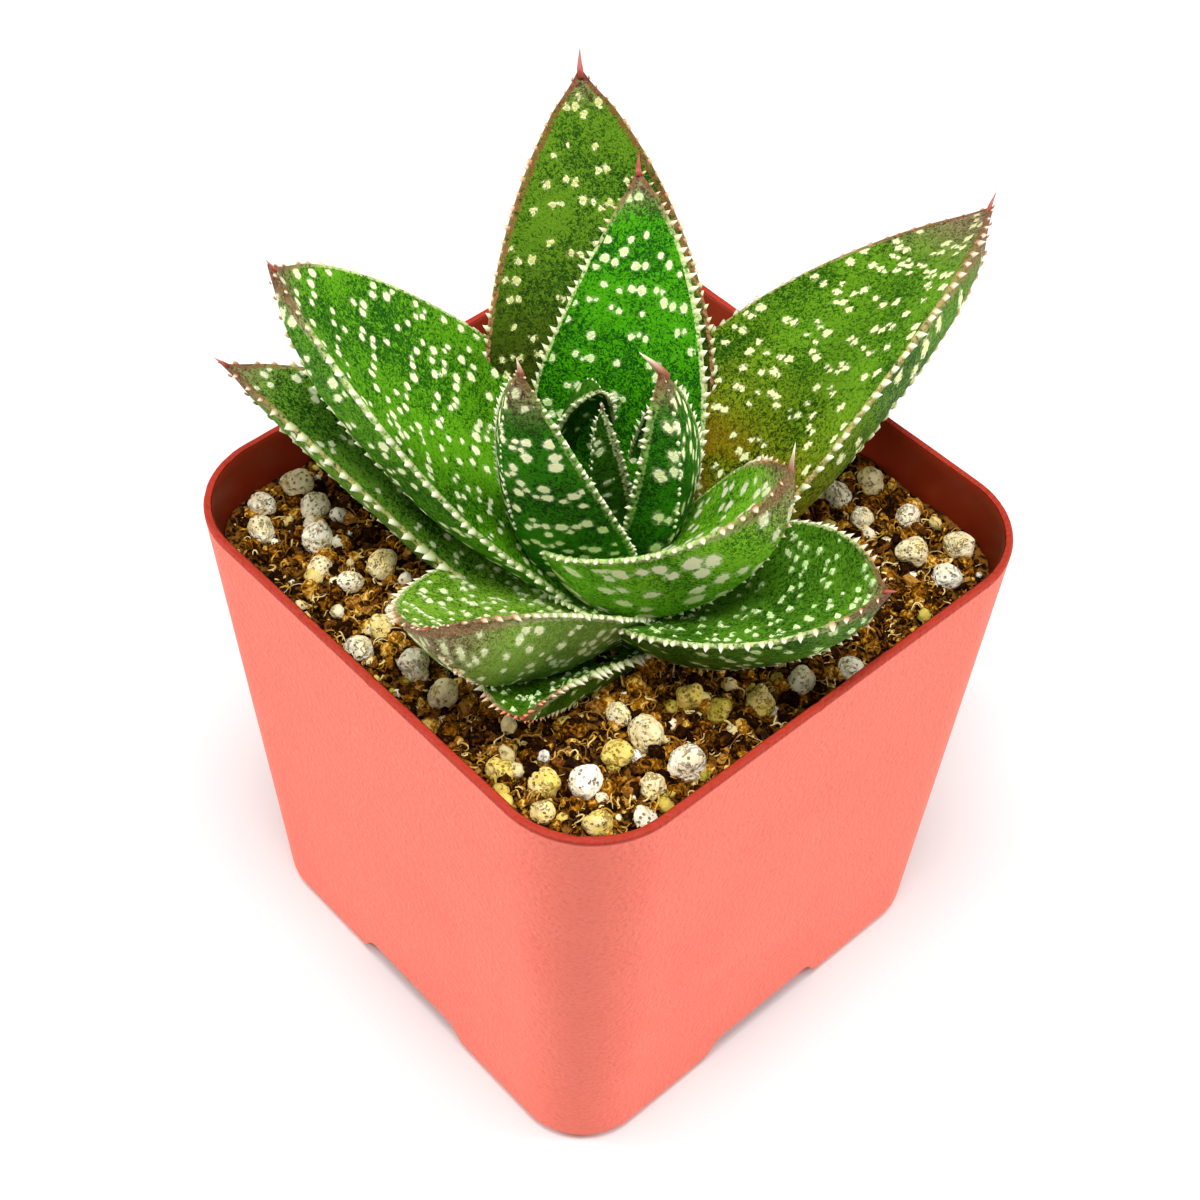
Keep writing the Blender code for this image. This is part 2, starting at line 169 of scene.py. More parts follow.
def times(tree, first, second):
    """The first value multiplied by the second."""
    return maths(tree, "MULTIPLY", first, second)


def blend(tree, factor, first, second):
    """Mixes two colours."""
    made = node(tree, "ShaderNodeMix", {"Factor": factor, 6: first, 7: second},
                data_type="RGBA")
    return made.outputs[2]


def ramp(tree, value, low, high):
    """Eased 0 to 1 as value goes from low to high."""
    made = node(tree, "ShaderNodeMapRange", {"Value": value, "From Min": low,
                "From Max": high}, interpolation_type="SMOOTHSTEP")
    return made.outputs[0]


def straight(tree, value, low, high):
    """Even change from low to high as value goes from 0 to 1."""
    made = node(tree, "ShaderNodeMapRange", {"Value": value, "To Min": low, "To Max": high})
    return made.outputs[0]


def field(tree, name):
    """A number that paint stored on the piece."""
    return node(tree, "ShaderNodeAttribute", attribute_name=name).outputs["Fac"]


def texture(tree, kind, scale, **inputs):
    """A noise or cell texture on the piece's own coordinates, in metres."""
    place = node(tree, "ShaderNodeTexCoord").outputs["Object"]
    return node(tree, kind, {"Vector": place, "Scale": scale, **inputs})


def noise(tree, scale, detail=2.0, distortion=0.0):
    """Cloudy values from 0 to 1 that vary over about 1 / scale metres."""
    made = texture(tree, "ShaderNodeTexNoise", scale, Detail=detail, Distortion=distortion)
    return made.outputs["Fac"]


def finish_of(name, colour, roughness, height=None, relief=0.0, gloss=0.5):
    """A Principled material; colour and roughness may be sockets of its own tree."""
    made = bpy.data.materials.new(name)
    made.use_nodes = True
    tree = made.node_tree
    shader = tree.nodes["Principled BSDF"]
    shader.inputs["Specular IOR Level"].default_value = gloss
    for key, value in (("Base Color", colour), ("Roughness", roughness)):
        value = value(tree) if callable(value) else value
        if isinstance(value, bpy.types.NodeSocket):
            tree.links.new(value, shader.inputs[key])
        else:
            shader.inputs[key].default_value = value
    if height is not None:
        bump = node(tree, "ShaderNodeBump", {"Height": height(tree), "Distance": relief,
                    "Strength": 1.0})
        tree.links.new(bump.outputs[0], shader.inputs["Normal"])
    return made


def square_path():
    """Round a square once: for each point the share of its corner centre and its outward
    direction, so that a point is centre * (half - radius) + direction * radius."""
    run = np.linspace(-1, 1, SIDE_POINTS, endpoint=False)
    bend = np.linspace(0, math.pi / 2, CORNER_POINTS, endpoint=False)
    centre = np.concatenate([np.stack([np.ones(SIDE_POINTS), run], -1),
                             np.ones((CORNER_POINTS, 2))])
    angle = np.concatenate([np.zeros(SIDE_POINTS), bend])
    out = np.stack([np.cos(angle), np.sin(angle)], -1)
    turns = [np.array([[math.cos(a), math.sin(a)], [-math.sin(a), math.cos(a)]])
             for a in np.arange(4) * math.pi / 2]
    return (np.concatenate([centre @ t for t in turns]),
            np.concatenate([out @ t for t in turns]))


CENTRE, OUTWARD = square_path()


def square_ring(half, radius):
    """Points of a rounded square; half and radius may vary round the ring."""
    half = np.broadcast_to(half, len(CENTRE))[:, None]
    radius = np.broadcast_to(radius, len(CENTRE))[:, None]
    return CENTRE * (half - radius) + OUTWARD * radius


def arch(xy):
    """Height of the arch over a point of the base: eased down at its sides and its end."""
    a = np.abs(xy)
    over = [ease((ARCH_FOOT - a[..., i]) / (ARCH_FOOT - ARCH_TOP))
            * ease((ARCH_DEPTH - FOOT_HALF + a[..., 1 - i]) / (0.8 * MM)) for i in (0, 1)]
    return ARCH_HEIGHT * np.maximum(*over)


def pot_row(z, inset, share=1.0):
    """One ring of the pot's surface at height z, drawn in from the outside by inset, and
    shrunk towards the axis by share."""
    t = np.clip(z / POT_HEIGHT, 0, 1)
    chamfer = 0.5 * MM * np.clip(1 - z / (1.4 * MM), 0, 1)
    half = FOOT_HALF + (RIM_HALF - FOOT_HALF) * t - inset - chamfer
    radius = FOOT_CORNER + (RIM_CORNER - FOOT_CORNER) * t - inset
    xy = square_ring(half, radius) * share
    return np.column_stack([xy, np.broadcast_to(z, len(xy))])


def build_pot():
    """Underside from the middle out, up the wall, over the rim, down inside to the floor. Each
    ring notes whether it is inside and how far it is from the rim, millimetres; the material
    paints shade on the rim's top and over the inside from these marks."""
    edge = arch(square_ring(FOOT_HALF, FOOT_CORNER))
    rows, deep, inside = [], [], []

    def add(row, inner, depth):
        """Keeps one ring with its inside mark and its depth under the rim."""
        rows.append(row)
        inside.append(np.full(len(row), float(inner)))
        deep.append(np.full(len(row), depth))

    for share in np.concatenate([np.linspace(0.03, 0.6, 9), np.linspace(0.66, 0.985, 22)]):
        row = pot_row(0.0, EDGE_ROUND, share)
        row[:, 2] = arch(row[:, :2])
        add(row, 0, 60.0)
    for a in np.radians([20, 45, 70, 90]):
        z = edge + EDGE_ROUND * (1 - math.cos(a))
        add(pot_row(z, EDGE_ROUND * (1 - math.sin(a))), 0, 55.0)
    top = POT_HEIGHT - EDGE_ROUND
    for t in np.concatenate([[0.006, 0.013, 0.0195, 0.024, 0.05], np.linspace(0.09, 0.94, 18),
                             [0.965, 0.985, 1.0]]):
        z = edge + EDGE_ROUND + (top - edge - EDGE_ROUND) * t
        add(pot_row(z, 0.0), 0, (1 - t) * 58.0)
    for a in np.radians([25, 50, 75, 90]):
        add(pot_row(top + EDGE_ROUND * math.sin(a), EDGE_ROUND * (1 - math.cos(a))), 0, 0.0)
    for a in np.radians([90, 65, 40, 0]):
        add(pot_row(top + EDGE_ROUND * math.sin(a), WALL - EDGE_ROUND * (1 - math.cos(a))),
            a < 0.8, 0.0)
    floor = POT_FLOOR + edge
    for t in np.linspace(0.02, 1.0, 14):
        add(pot_row(top + (floor - top) * t, WALL), 1, t * 55.0)
    for share in np.linspace(0.97, 0.03, 24):
        row = pot_row(POT_FLOOR, WALL, share)
        row[:, 2] = POT_FLOOR + arch(row[:, :2])
        add(row, 1, 55.0)
    points = np.array(rows)
    at_rim = np.array(deep)[..., None] < 0.5
    wear = lumps(points, 1.6 * MM, 3)[..., None]
    nick = -0.16 * MM * ease((lumps(points, 0.9 * MM, 4)[..., None] - 0.42) / 0.3)
    points = points + at_rim * (0.04 * MM * wear + nick) * np.array([0, 0, 1.0])
    made = shut_rings("pot_shell", points, [0, 0, 0], [0, 0, POT_FLOOR])
    paint(made, inside=np.append(inside, [0, 1]), below_rim=np.append(deep, [60, 55]))
    return made


def drill(made):
    """Cuts the two drain holes through the roof of each arch, as in the frame."""
    holes = bmesh.new()
    for side in range(4):
        turn = Matrix.Rotation(math.radians(90 * side), 4, "Z")
        for hand in (-1, 1):
            place = Vector((hand * DRAIN_ASIDE, -FOOT_HALF + DRAIN_INWARD, ARCH_HEIGHT))
            bmesh.ops.create_cone(holes, cap_ends=True, segments=32, radius1=DRAIN_RADIUS,
                                  radius2=DRAIN_RADIUS, depth=6 * MM,
                                  matrix=turn @ Matrix.Translation(place))
    mesh = bpy.data.meshes.new("drain_drills")
    holes.to_mesh(mesh)
    holes.free()
    cutter = bpy.data.objects.new("drain_drills", mesh)
    bpy.context.scene.collection.objects.link(cutter)
    step = made.modifiers.new("drain_holes", "BOOLEAN")
    step.operation = "DIFFERENCE"
    step.solver = "MANIFOLD"
    step.object = cutter
    bpy.context.view_layer.update()
    graph = bpy.context.evaluated_depsgraph_get()
    cut = bpy.data.meshes.new_from_object(made.evaluated_get(graph))
    made.modifiers.clear()
    made.data = cut
    bpy.data.objects.remove(cutter)


def pot_colour(tree):
    """Coral with faint clouds and specks, with painted shade: dark red along the rim's top and
    darker still on the inside.
    """
    cloud = ramp(tree, noise(tree, 60.0), 0.35, 0.7)
    wall = blend(tree, times(tree, cloud, 0.35), CORAL, CORAL_CLOUD)
    speck = ramp(tree, noise(tree, 2400.0), 0.45, 0.70)
    wall = blend(tree, times(tree, speck, 0.32), wall, CORAL_DEEP)
    # painted shade on the rim's top, then over the whole inside
    rim = ramp(tree, field(tree, "below_rim"), 0.42, 0.02)
    wall = blend(tree, rim, wall, CORAL_RIM_SHADE)
    return blend(tree, field(tree, "inside"), wall, CORAL_INSIDE_SHADE)


def pot_roughness(tree):
    """Satin and a little cloudy outside, smoother inside."""
    outside = straight(tree, noise(tree, 260.0), 0.50, 0.66)
    return maths(tree, "SUBTRACT", outside, times(tree, field(tree, "inside"), 0.22))


def pot_grain(tree):
    """Orange peel on the outside: soft noise about half a millimetre across."""
    outer = maths(tree, "SUBTRACT", 1.0, field(tree, "inside"))
    return times(tree, noise(tree, 2100.0), outer)


pot = build_pot()
drill(pot)
pot.data.materials.clear()
pot.data.materials.append(finish_of("coral_polypropylene", pot_colour, pot_roughness,
                                    pot_grain, 0.26 * MM, gloss=0.22))
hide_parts("pot")
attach(pot, "root")

# ----------------------------------------------------------------------------- the soil
# Moist peat and composted bark. The frame's block fills the pot, and over it lies a
# loose bed of crumbs, bark chips and curled fibres.
SOIL_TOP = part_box("soil")[1].z
BED_HALF = 28.7 * MM
BED_CORNER = 8.6 * MM
BED_SKIRT = 1.0 * MM            # how far its edge goes down into the block
PLANT_X = 1.5 * MM
PLANT_Y = -0.6 * MM
GRAINS = 38                     # large perlite grains in the frame
PEAT_BLACK = (0.008, 0.003, 0.001, 1.0)
PEAT_BROWN = (0.20, 0.080, 0.010, 1.0)
PEAT_WET = (0.030, 0.013, 0.004, 1.0)
soil_random = np.random.default_rng(21)


def bed_height(x, y):
    """Surface of the bed: broad lumps, small lumps, and a low mound round the plant."""
    flat = np.stack([x, y, np.zeros_like(x)], -1)
    away = np.hypot(x - PLANT_X, y - PLANT_Y)
    return (SOIL_TOP + 0.35 * MM + 0.45 * MM * lumps(flat, 5.0 * MM, 31)
            + 0.30 * MM * lumps(flat, 1.7 * MM, 32) + 0.22 * MM * lumps(flat, 0.7 * MM, 33)
            + 0.6 * MM * np.exp(-(away / (9 * MM)) ** 2))


def build_bed():
    """Rings from the middle out to the wall, then a skirt down into the block."""
    share = np.linspace(0.01, 1.0, 120)
    edge = square_ring(BED_HALF, BED_CORNER)
    xy = share[:, None, None] * edge[None]
    top = np.concatenate([xy, bed_height(xy[..., 0], xy[..., 1])[..., None]], -1)
    skirt = np.column_stack([edge, np.full(len(edge), SOIL_TOP - BED_SKIRT)])[None]
    middle = bed_height(np.zeros(1), np.zeros(1))[0]
    return shut_rings("soil_bed", np.concatenate([top, skirt]), [0, 0, middle],
                      [0, 0, SOIL_TOP - BED_SKIRT])


def peat_colour(tree):
    """Near black and brown grains, with wetter, duller patches."""
    grains = ramp(tree, noise(tree, 1500.0, 6.0), 0.42, 0.60)
    patches = ramp(tree, noise(tree, 320.0, 4.0), 0.52, 0.70)
    return blend(tree, patches, blend(tree, grains, PEAT_BLACK, PEAT_BROWN), PEAT_WET)


def peat_height(tree):
    """Fine crumbly relief."""
    return noise(tree, 2200.0, 6.0)


peat = finish_of("moist_peat", peat_colour, 0.85, peat_height, 0.25 * MM, gloss=0.03)
bed = build_bed()
bed.data.materials.append(peat)
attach(bed, "root")
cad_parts["soil"].data.materials.clear()
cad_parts["soil"].data.materials.append(peat)


def mesh_arrays(shape):
    """Points and faces of a scratch shape, which is freed."""
    points = np.array([v.co for v in shape.verts])
    faces = np.array([[v.index for v in f.verts] for f in shape.faces])
    shape.free()
    return points, faces


def ball(level):
    """Points and triangles of an icosahedron split level - 1 times, radius one."""
    shape = bmesh.new()
    bmesh.ops.create_icosphere(shape, subdivisions=level, radius=1.0)
    return mesh_arrays(shape)


def random_turns(count, source):
    """Rotation matrices from random unit quaternions."""
    q = source.normal(size=(count, 4))
    q /= np.linalg.norm(q, axis=1)[:, None]
    w, x, y, z = q.T
    return np.stack([1 - 2 * (y * y + z * z), 2 * (x * y - z * w), 2 * (x * z + y * w),
                     2 * (x * y + z * w), 1 - 2 * (x * x + z * z), 2 * (y * z - x * w),
                     2 * (x * z - y * w), 2 * (y * z + x * w), 1 - 2 * (x * x + y * y)],
                    -1).reshape(-1, 3, 3)


def copied(faces, count, points):
    """Faces of count copies of one shape, whose points follow one another."""
    step = np.arange(count)[:, None, None] * points
    return (faces[None] + step).reshape(-1, faces.shape[1])


def heap(name, points, faces, places, sizes, turns, smooth, tints):
    """Many copies of one small shape: each scaled, turned and put in its place."""
    count = len(places)
    shape = points if points.ndim == 3 else np.broadcast_to(points, (count, *points.shape))
    spread = np.einsum("nij,nvj->nvi", turns, shape * sizes[:, None, :]) + places[:, None]
    made = piece(name, spread, copied(faces, count, shape.shape[1]), smooth=smooth,
                 facing=False)
    paint(made, tint=np.repeat(tints, shape.shape[1]))
    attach(made, "root")
    return made


def spots_on_bed(count, margin=0.6 * MM):
    """Random places over the bed, inside the wall's rounded square."""
    xy = soil_random.uniform(-1, 1, (count * 2, 2)) * (BED_HALF - margin)
    over = np.abs(xy) - (BED_HALF - BED_CORNER)
    corner = np.hypot(*np.maximum(over, 0).T) < BED_CORNER - margin
    return xy[corner][:count]


def off_grains(xy, gap):
    """Only the places that are at least gap away from every large perlite grain."""
    boxes = [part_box(f"perlite_{n:02d}") for n in range(1, GRAINS + 1)]
    middle = np.array([(low + high) / 2 for low, high in boxes])[:, :2]
    reach = np.array([max(high.x - low.x, high.y - low.y) / 2 for low, high in boxes])
    away = np.linalg.norm(xy[:, None] - middle[None], axis=2) - reach
    return xy[np.all(away > gap, axis=1)]


def crumbly(tree, stops, scale=1800.0, swing=0.55):
    """Colour of loose bits: a colour for each bit from its tint, with fine mottling."""
    mottle = maths(tree, "SUBTRACT", noise(tree, scale, 4.0, 1.2), 0.5)
    value = maths(tree, "ADD", field(tree, "tint"), times(tree, mottle, swing), clamp=True)
    made = node(tree, "ShaderNodeValToRGB", {"Fac": value})
    while len(made.color_ramp.elements) < len(stops):
        made.color_ramp.elements.new(0.5)
    for element, (place, colour) in zip(made.color_ramp.elements, stops):
        element.position = place
        element.color = (*colour, 1.0)
    return made.outputs["Color"]


CRUMB_STOPS = ((0.0, (0.008, 0.002, 0.001)), (0.36, (0.030, 0.009, 0.001)),
               (0.56, (0.18, 0.060, 0.003)), (0.80, (0.46, 0.195, 0.008)),
               (1.0, (0.92, 0.62, 0.16)))
crumb_finish = finish_of(
    "peat_crumbs", lambda tree: crumbly(tree, CRUMB_STOPS, 1700.0, 1.8), 0.85, peat_height,
    0.34 * MM, gloss=0.03)


def boxy_ball():
    """A cube split once and pushed out to a ball of radius one: 26 points, 24 quads."""
    shape = bmesh.new()
    bmesh.ops.create_cube(shape, size=2.0)
    bmesh.ops.subdivide_edges(shape, edges=shape.edges, cuts=1, use_grid_fill=True)
    points, faces = mesh_arrays(shape)
    return points / np.linalg.norm(points, axis=1)[:, None], faces


def build_crumbs(name, count, least, most, uneven, shape, seed):
    """Crumbs of peat of many sizes, each an uneven ball turned its own way."""
    points, faces = shape
    source = np.random.default_rng(seed)
    xy = off_grains(spots_on_bed(count, least + 0.3 * MM), -0.3 * MM)
    count = len(xy)
    size = least + (most - least) * source.random(count) ** 2.0
    sizes = size[:, None] * source.uniform(0.6, 1.25, (count, 3))
    shift = source.uniform(0, 30, (count, 1, 3))
    bumps = 1 + uneven * lumps(points[None] * 1.3 + shift, 1.0, 41)[..., None]
    z = bed_height(*xy.T) + size * source.uniform(-0.2, 0.55, count)
    made = heap(name, points[None] * bumps, faces, np.column_stack([xy, z]), sizes,
                random_turns(count, source), True, source.uniform(0.1, 0.85, count))
    made.data.materials.append(crumb_finish)


BARK_CHIPS = 400
BARK_STOPS = ((0.0, (0.012, 0.004, 0.001)), (0.5, (0.070, 0.022, 0.003)),
              (0.8, (0.24, 0.085, 0.010)), (1.0, (0.46, 0.22, 0.04)))


def build_bark():
    """Split chips of bark: six-sided slabs with one end narrower."""
    base = np.array([[x * (1.0 if z < 0 else 0.8), y, z] for x in (-1, 1)
                     for y in (-1, 0.1, 1) for z in (-1, 1)], float)
    base[:, 0] *= np.where(np.abs(base[:, 1]) < 0.5, 1.12, 0.85)
    faces = np.array([[0, 1, 3, 2], [2, 3, 5, 4], [6, 8, 9, 7], [8, 10, 11, 9],
                      [0, 6, 7, 1], [4, 5, 11, 10], [0, 2, 8, 6], [2, 4, 10, 8],
                      [1, 7, 9, 3], [3, 9, 11, 5]])
    xy = off_grains(spots_on_bed(BARK_CHIPS, 1.2 * MM), 0.2 * MM)
    count = len(xy)
    shape = base[None] + soil_random.normal(0, 0.13, (count, 12, 3))
    length = 0.40 * MM + 0.70 * MM * soil_random.random(count) ** 2.0
    sizes = length[:, None] * np.column_stack([np.full(count, 0.5), np.ones(count),
                                               soil_random.uniform(0.16, 0.36, count)])
    spin = soil_random.uniform(0, 2 * math.pi, count)
    tilt = soil_random.normal(0, 0.5, count)
    turns = np.array([Matrix.Rotation(a, 3, "Z") @ Matrix.Rotation(b, 3, "X")
                      for a, b in zip(spin, tilt)])
    z = bed_height(*xy.T) + 0.30 * MM + 0.35 * MM * soil_random.random(count)
    made = heap("bark_chips", shape, faces, np.column_stack([xy, z]), sizes, turns, False,
                soil_random.random(count))
    made.data.materials.append(finish_of(
        "bark", lambda tree: crumbly(tree, BARK_STOPS, 1400.0, 1.5), 0.85, peat_height,
        0.30 * MM, gloss=0.05))


CURL_STOPS = ((0.0, (0.020, 0.007, 0.001)), (0.35, (0.24, 0.085, 0.006)),
              (0.70, (0.66, 0.34, 0.030)), (1.0, (0.98, 0.80, 0.36)))
HAIR_STOPS = ((0.0, (0.16, 0.07, 0.014)), (0.5, (0.50, 0.28, 0.07)),
              (0.8, (0.78, 0.56, 0.24)), (1.0, (0.92, 0.80, 0.52)))


def build_fibres(name, count, reach, radius, curl, stops, seed, steps, sides):
    """Curled threads of coir and root: thin tubes along an arc whose heading turns as it
    goes, lifted off the bed in the middle."""
    source = np.random.default_rng(seed)
    xy = spots_on_bed(count, 1.6 * MM)
    count = len(xy)
    t = np.linspace(0, 1, steps)
    length = reach * source.uniform(0.4, 1.0, count)[:, None]
    heading = source.uniform(0, 2 * math.pi, count)[:, None]
    angle = (heading + source.normal(0, curl, count)[:, None] * t
             + 0.8 * np.sin(5 * t + heading))
    move = np.stack([np.cos(angle), np.sin(angle)], -1) * (length / steps)[..., None]
    path = xy[:, None] + np.cumsum(move, axis=1)
    path = np.clip(path, -(BED_HALF - 0.9 * MM), BED_HALF - 0.9 * MM)
    arc = source.uniform(-0.2, 1.0, count)[:, None] * 0.5 * MM * np.sin(math.pi * t)
    z = bed_height(path[..., 0], path[..., 1]) + 0.42 * MM + arc
    side = np.stack([-np.sin(angle), np.cos(angle), np.zeros_like(angle)], -1)
    width = radius * source.uniform(0.6, 1.3, count)[:, None] * (1 - 0.55 * t)
    spin = np.arange(sides) * 2 * math.pi / sides
    centre = np.concatenate([path, z[..., None]], -1)[:, :, None]
    points = (centre + side[:, :, None] * np.cos(spin)[:, None] * width[..., None, None]
              + np.array([0, 0, 1.0]) * np.sin(spin)[:, None] * width[..., None, None])
    caps = np.array([np.arange(sides)[::-1], np.arange(sides) + (steps - 1) * sides])
    made = piece(name, points, copied(ring_quads(steps, sides), count, steps * sides),
                 copied(caps, count, steps * sides), facing=False)
    paint(made, tint=np.repeat(source.random(count), steps * sides))
    made.data.materials.append(finish_of(
        name, lambda tree: crumbly(tree, stops), 0.7, gloss=0.06))
    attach(made, "root")


build_crumbs("soil_crumbs", count=5200, least=0.16 * MM, most=0.62 * MM, uneven=0.30,
             shape=ball(1), seed=42)
build_crumbs("soil_clods", count=1250, least=0.55 * MM, most=1.25 * MM, uneven=0.42,
             shape=boxy_ball(), seed=43)
build_bark()
build_fibres("peat_curls", count=3400, reach=2.3 * MM, radius=0.13 * MM, curl=4.2,
             stops=CURL_STOPS, seed=51, steps=8, sides=3)
build_fibres("root_hairs", count=200, reach=6.0 * MM, radius=0.065 * MM, curl=2.4,
             stops=HAIR_STOPS, seed=52, steps=10, sides=4)

# ------------------------------------------------------------------------- the perlite
# Expanded volcanic glass, mixed through the soil and washed out on top: lumpy, porous
# white grains, many of them stained straw, yellow or olive by the wet peat.
grain_random = np.random.default_rng(61)
SMALL_GRAINS = 420
GRAIN_STOPS = ((0.0, (0.97, 0.94, 0.82)), (0.34, (0.92, 0.79, 0.47)),
               (0.70, (0.80, 0.60, 0.13)), (1.0, (0.42, 0.34, 0.035)))
GRAIN_CRACK = (0.30, 0.15, 0.018, 1.0)


def grain_cracks(tree):
    """1 in the grain's pits, pores and short winding cracks, 0 between them."""
    winding = maths(tree, "SUBTRACT", noise(tree, 1300.0, 2.0, 0.9), 0.5)
    thin = ramp(tree, maths(tree, "ABSOLUTE", winding), 0.045, 0.006)
    crack = times(tree, thin, ramp(tree, noise(tree, 620.0, 1.0), 0.50, 0.62))
    pores = texture(tree, "ShaderNodeTexVoronoi", 1900.0).outputs["Distance"]
    pit = times(tree, ramp(tree, pores, 0.34, 0.18),
                ramp(tree, noise(tree, 900.0, 3.0), 0.45, 0.54))
    pit = maths(tree, "MAXIMUM", pit, times(tree, field(tree, "pit"), 0.7))
    return maths(tree, "MAXIMUM", times(tree, crack, 0.7), pit)


def grain_colour(tree):
    """White to olive by the grain's stain, cloudy over it, with dark pores."""
    base = crumbly(tree, GRAIN_STOPS, 620.0, 0.75)
    return blend(tree, times(tree, grain_cracks(tree), 0.88), base, GRAIN_CRACK)


def grain_height(tree):
    """Rough all over, and sunk where it is cracked."""
    sunk = times(tree, grain_cracks(tree), 0.9)
    return maths(tree, "SUBTRACT", noise(tree, 1500.0, 5.0), sunk)


perlite_finish = finish_of("perlite", grain_colour, 0.85, grain_height, 0.30 * MM,
                           gloss=0.06)
# Stain of the grains that stand out, by number; the others are near white.
STAINED = {2: 0.95, 3: 0.72, 5: 0.40, 7: 0.68, 8: 0.42, 12: 0.62, 10: 0.12, 11: 0.66,
           13: 0.70, 14: 0.55, 15: 0.40, 16: 0.18, 18: 0.60, 19: 0.46, 1: 0.62, 4: 0.36,
           34: 0.15, 33: 0.12, 35: 0.30}


def build_large_grain(number):
    """One of the frame's grains: a ball with broad and fine lumps and pits, settled in."""
    name = f"perlite_{number:02d}"
    low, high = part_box(name)
    middle = np.array((low + high) / 2)
    size = np.array(high - low)
    points, faces = ball(5)
    shift = number * 7.3
    lump = (1 + 0.24 * lumps(points + shift, 0.95, 62) + 0.09 * lumps(points + shift, 0.42, 63)
            + 0.035 * lumps(points + shift, 0.17, 64))
    pits = ease((lumps(points + shift, 0.15, 66) - 0.50) / 0.22)
    lump = lump - 0.055 * pits
    radius = max(size[:2]) / 2
    squash = np.array([1.0, 0.80 + 0.16 * (number * 0.618 % 1.0), 0.88])
    shape = points * lump[:, None] * radius * squash
    turn = np.array(Matrix.Rotation(number * 2.4, 3, "Z") @ Matrix.Rotation(0.4, 3, "X"))
    shape = shape @ turn.T
    middle[2] = low.z + radius * 0.60
    made = piece(f"{name}_grain", shape + middle, faces, facing=False)
    stain = STAINED.get(number, 0.12 + 0.30 * (number * 0.37 % 1.0))
    paint(made, tint=np.full(len(points), stain), pit=pits)
    made.data.materials.append(perlite_finish)
    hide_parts(name)
    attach(made, "root")


def build_small_grains():
    """The crumbled grains that lie loose between the large ones."""
    points, faces = boxy_ball()
    xy = spots_on_bed(SMALL_GRAINS, 1.0 * MM)
    count = len(xy)
    size = 0.26 * MM + 0.72 * MM * grain_random.random(count) ** 1.7
    sizes = size[:, None] * grain_random.uniform(0.8, 1.15, (count, 3))
    bumps = 1 + 0.30 * lumps(points[None] + grain_random.uniform(0, 30, (count, 1, 3)),
                             0.8, 65)[..., None]
    z = bed_height(*xy.T) + size * grain_random.uniform(0.0, 0.7, count)
    made = heap("perlite_small", points[None] * bumps, faces, np.column_stack([xy, z]),
                sizes, random_turns(count, grain_random), True,
                grain_random.random(count) ** 0.9 * 0.95)
    made.data.materials.append(perlite_finish)


for grain_number in range(1, GRAINS + 1):
    build_large_grain(grain_number)
build_small_grains()

# ------------------------------------------------------------------- the stem and roots
# The short woody stem and its roots, in the frame's own shape. Only the top of the stem
# can be seen, deep between the leaves.
STEM_DARK = (0.20, 0.13, 0.07, 1.0)
STEM_LIGHT = (0.42, 0.32, 0.18, 1.0)
stem_finish = finish_of(
    "root_bark", lambda tree: blend(tree, noise(tree, 900.0), STEM_DARK, STEM_LIGHT), 0.8,
    peat_height, 0.10 * MM)
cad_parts["stem_and_roots"].data.materials.clear()
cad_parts["stem_and_roots"].data.materials.append(stem_finish)

# ----------------------------------------------------------------------------- the leaves
# Thick, stiff, keeled blades in a tight spiral. The upper face is channelled, the back
# has an off-centre ridge, and the waxy green skin carries cream spots in loose bands.
CREAM_GREEN = (0.66, 0.84, 0.34)
HORN = (0.66, 0.72, 0.34)
SERE = (0.26, 0.25, 0.006)
# dark between the lighter wrinkle ridges of the low patch, partly painted shade
WEAR_AND_SHADE_DARK = (0.016, 0.020, 0.001, 1.0)
BURNT = (0.40, 0.17, 0.006, 1.0)
PALE_FLECK = (0.30, 0.45, 0.12, 1.0)
BLOOM = (0.27, 0.38, 0.09, 1.0)
DUSK_DARK = (0.085, 0.040, 0.026, 1.0)
DUSK_LIGHT = (0.31, 0.21, 0.13, 1.0)
SPOT_HEART = (0.95, 1.0, 0.66, 1.0)
RIND_RED = (0.20, 0.036, 0.022, 1.0)
MARGIN_ROUND = 0.25             # half thickness of the horny margin, millimetres
ROW_GAP = 0.26                  # grid spacing along and across a blade, millimetres
CELL_GAP = 0.27
CROWDING = 0.93                 # how much the grid crowds towards the margins
BAND_PITCH = 4.6                # from one band of spots to the next, millimetres
TWIN_SHARE = 0.35               # spots that are doubled side by side
SPOT_CLEAR = 0.55               # bare skin inside the margin, millimetres
SKIN_GLOSS = 0.05
SKIN_RELIEF = 0.14 * MM

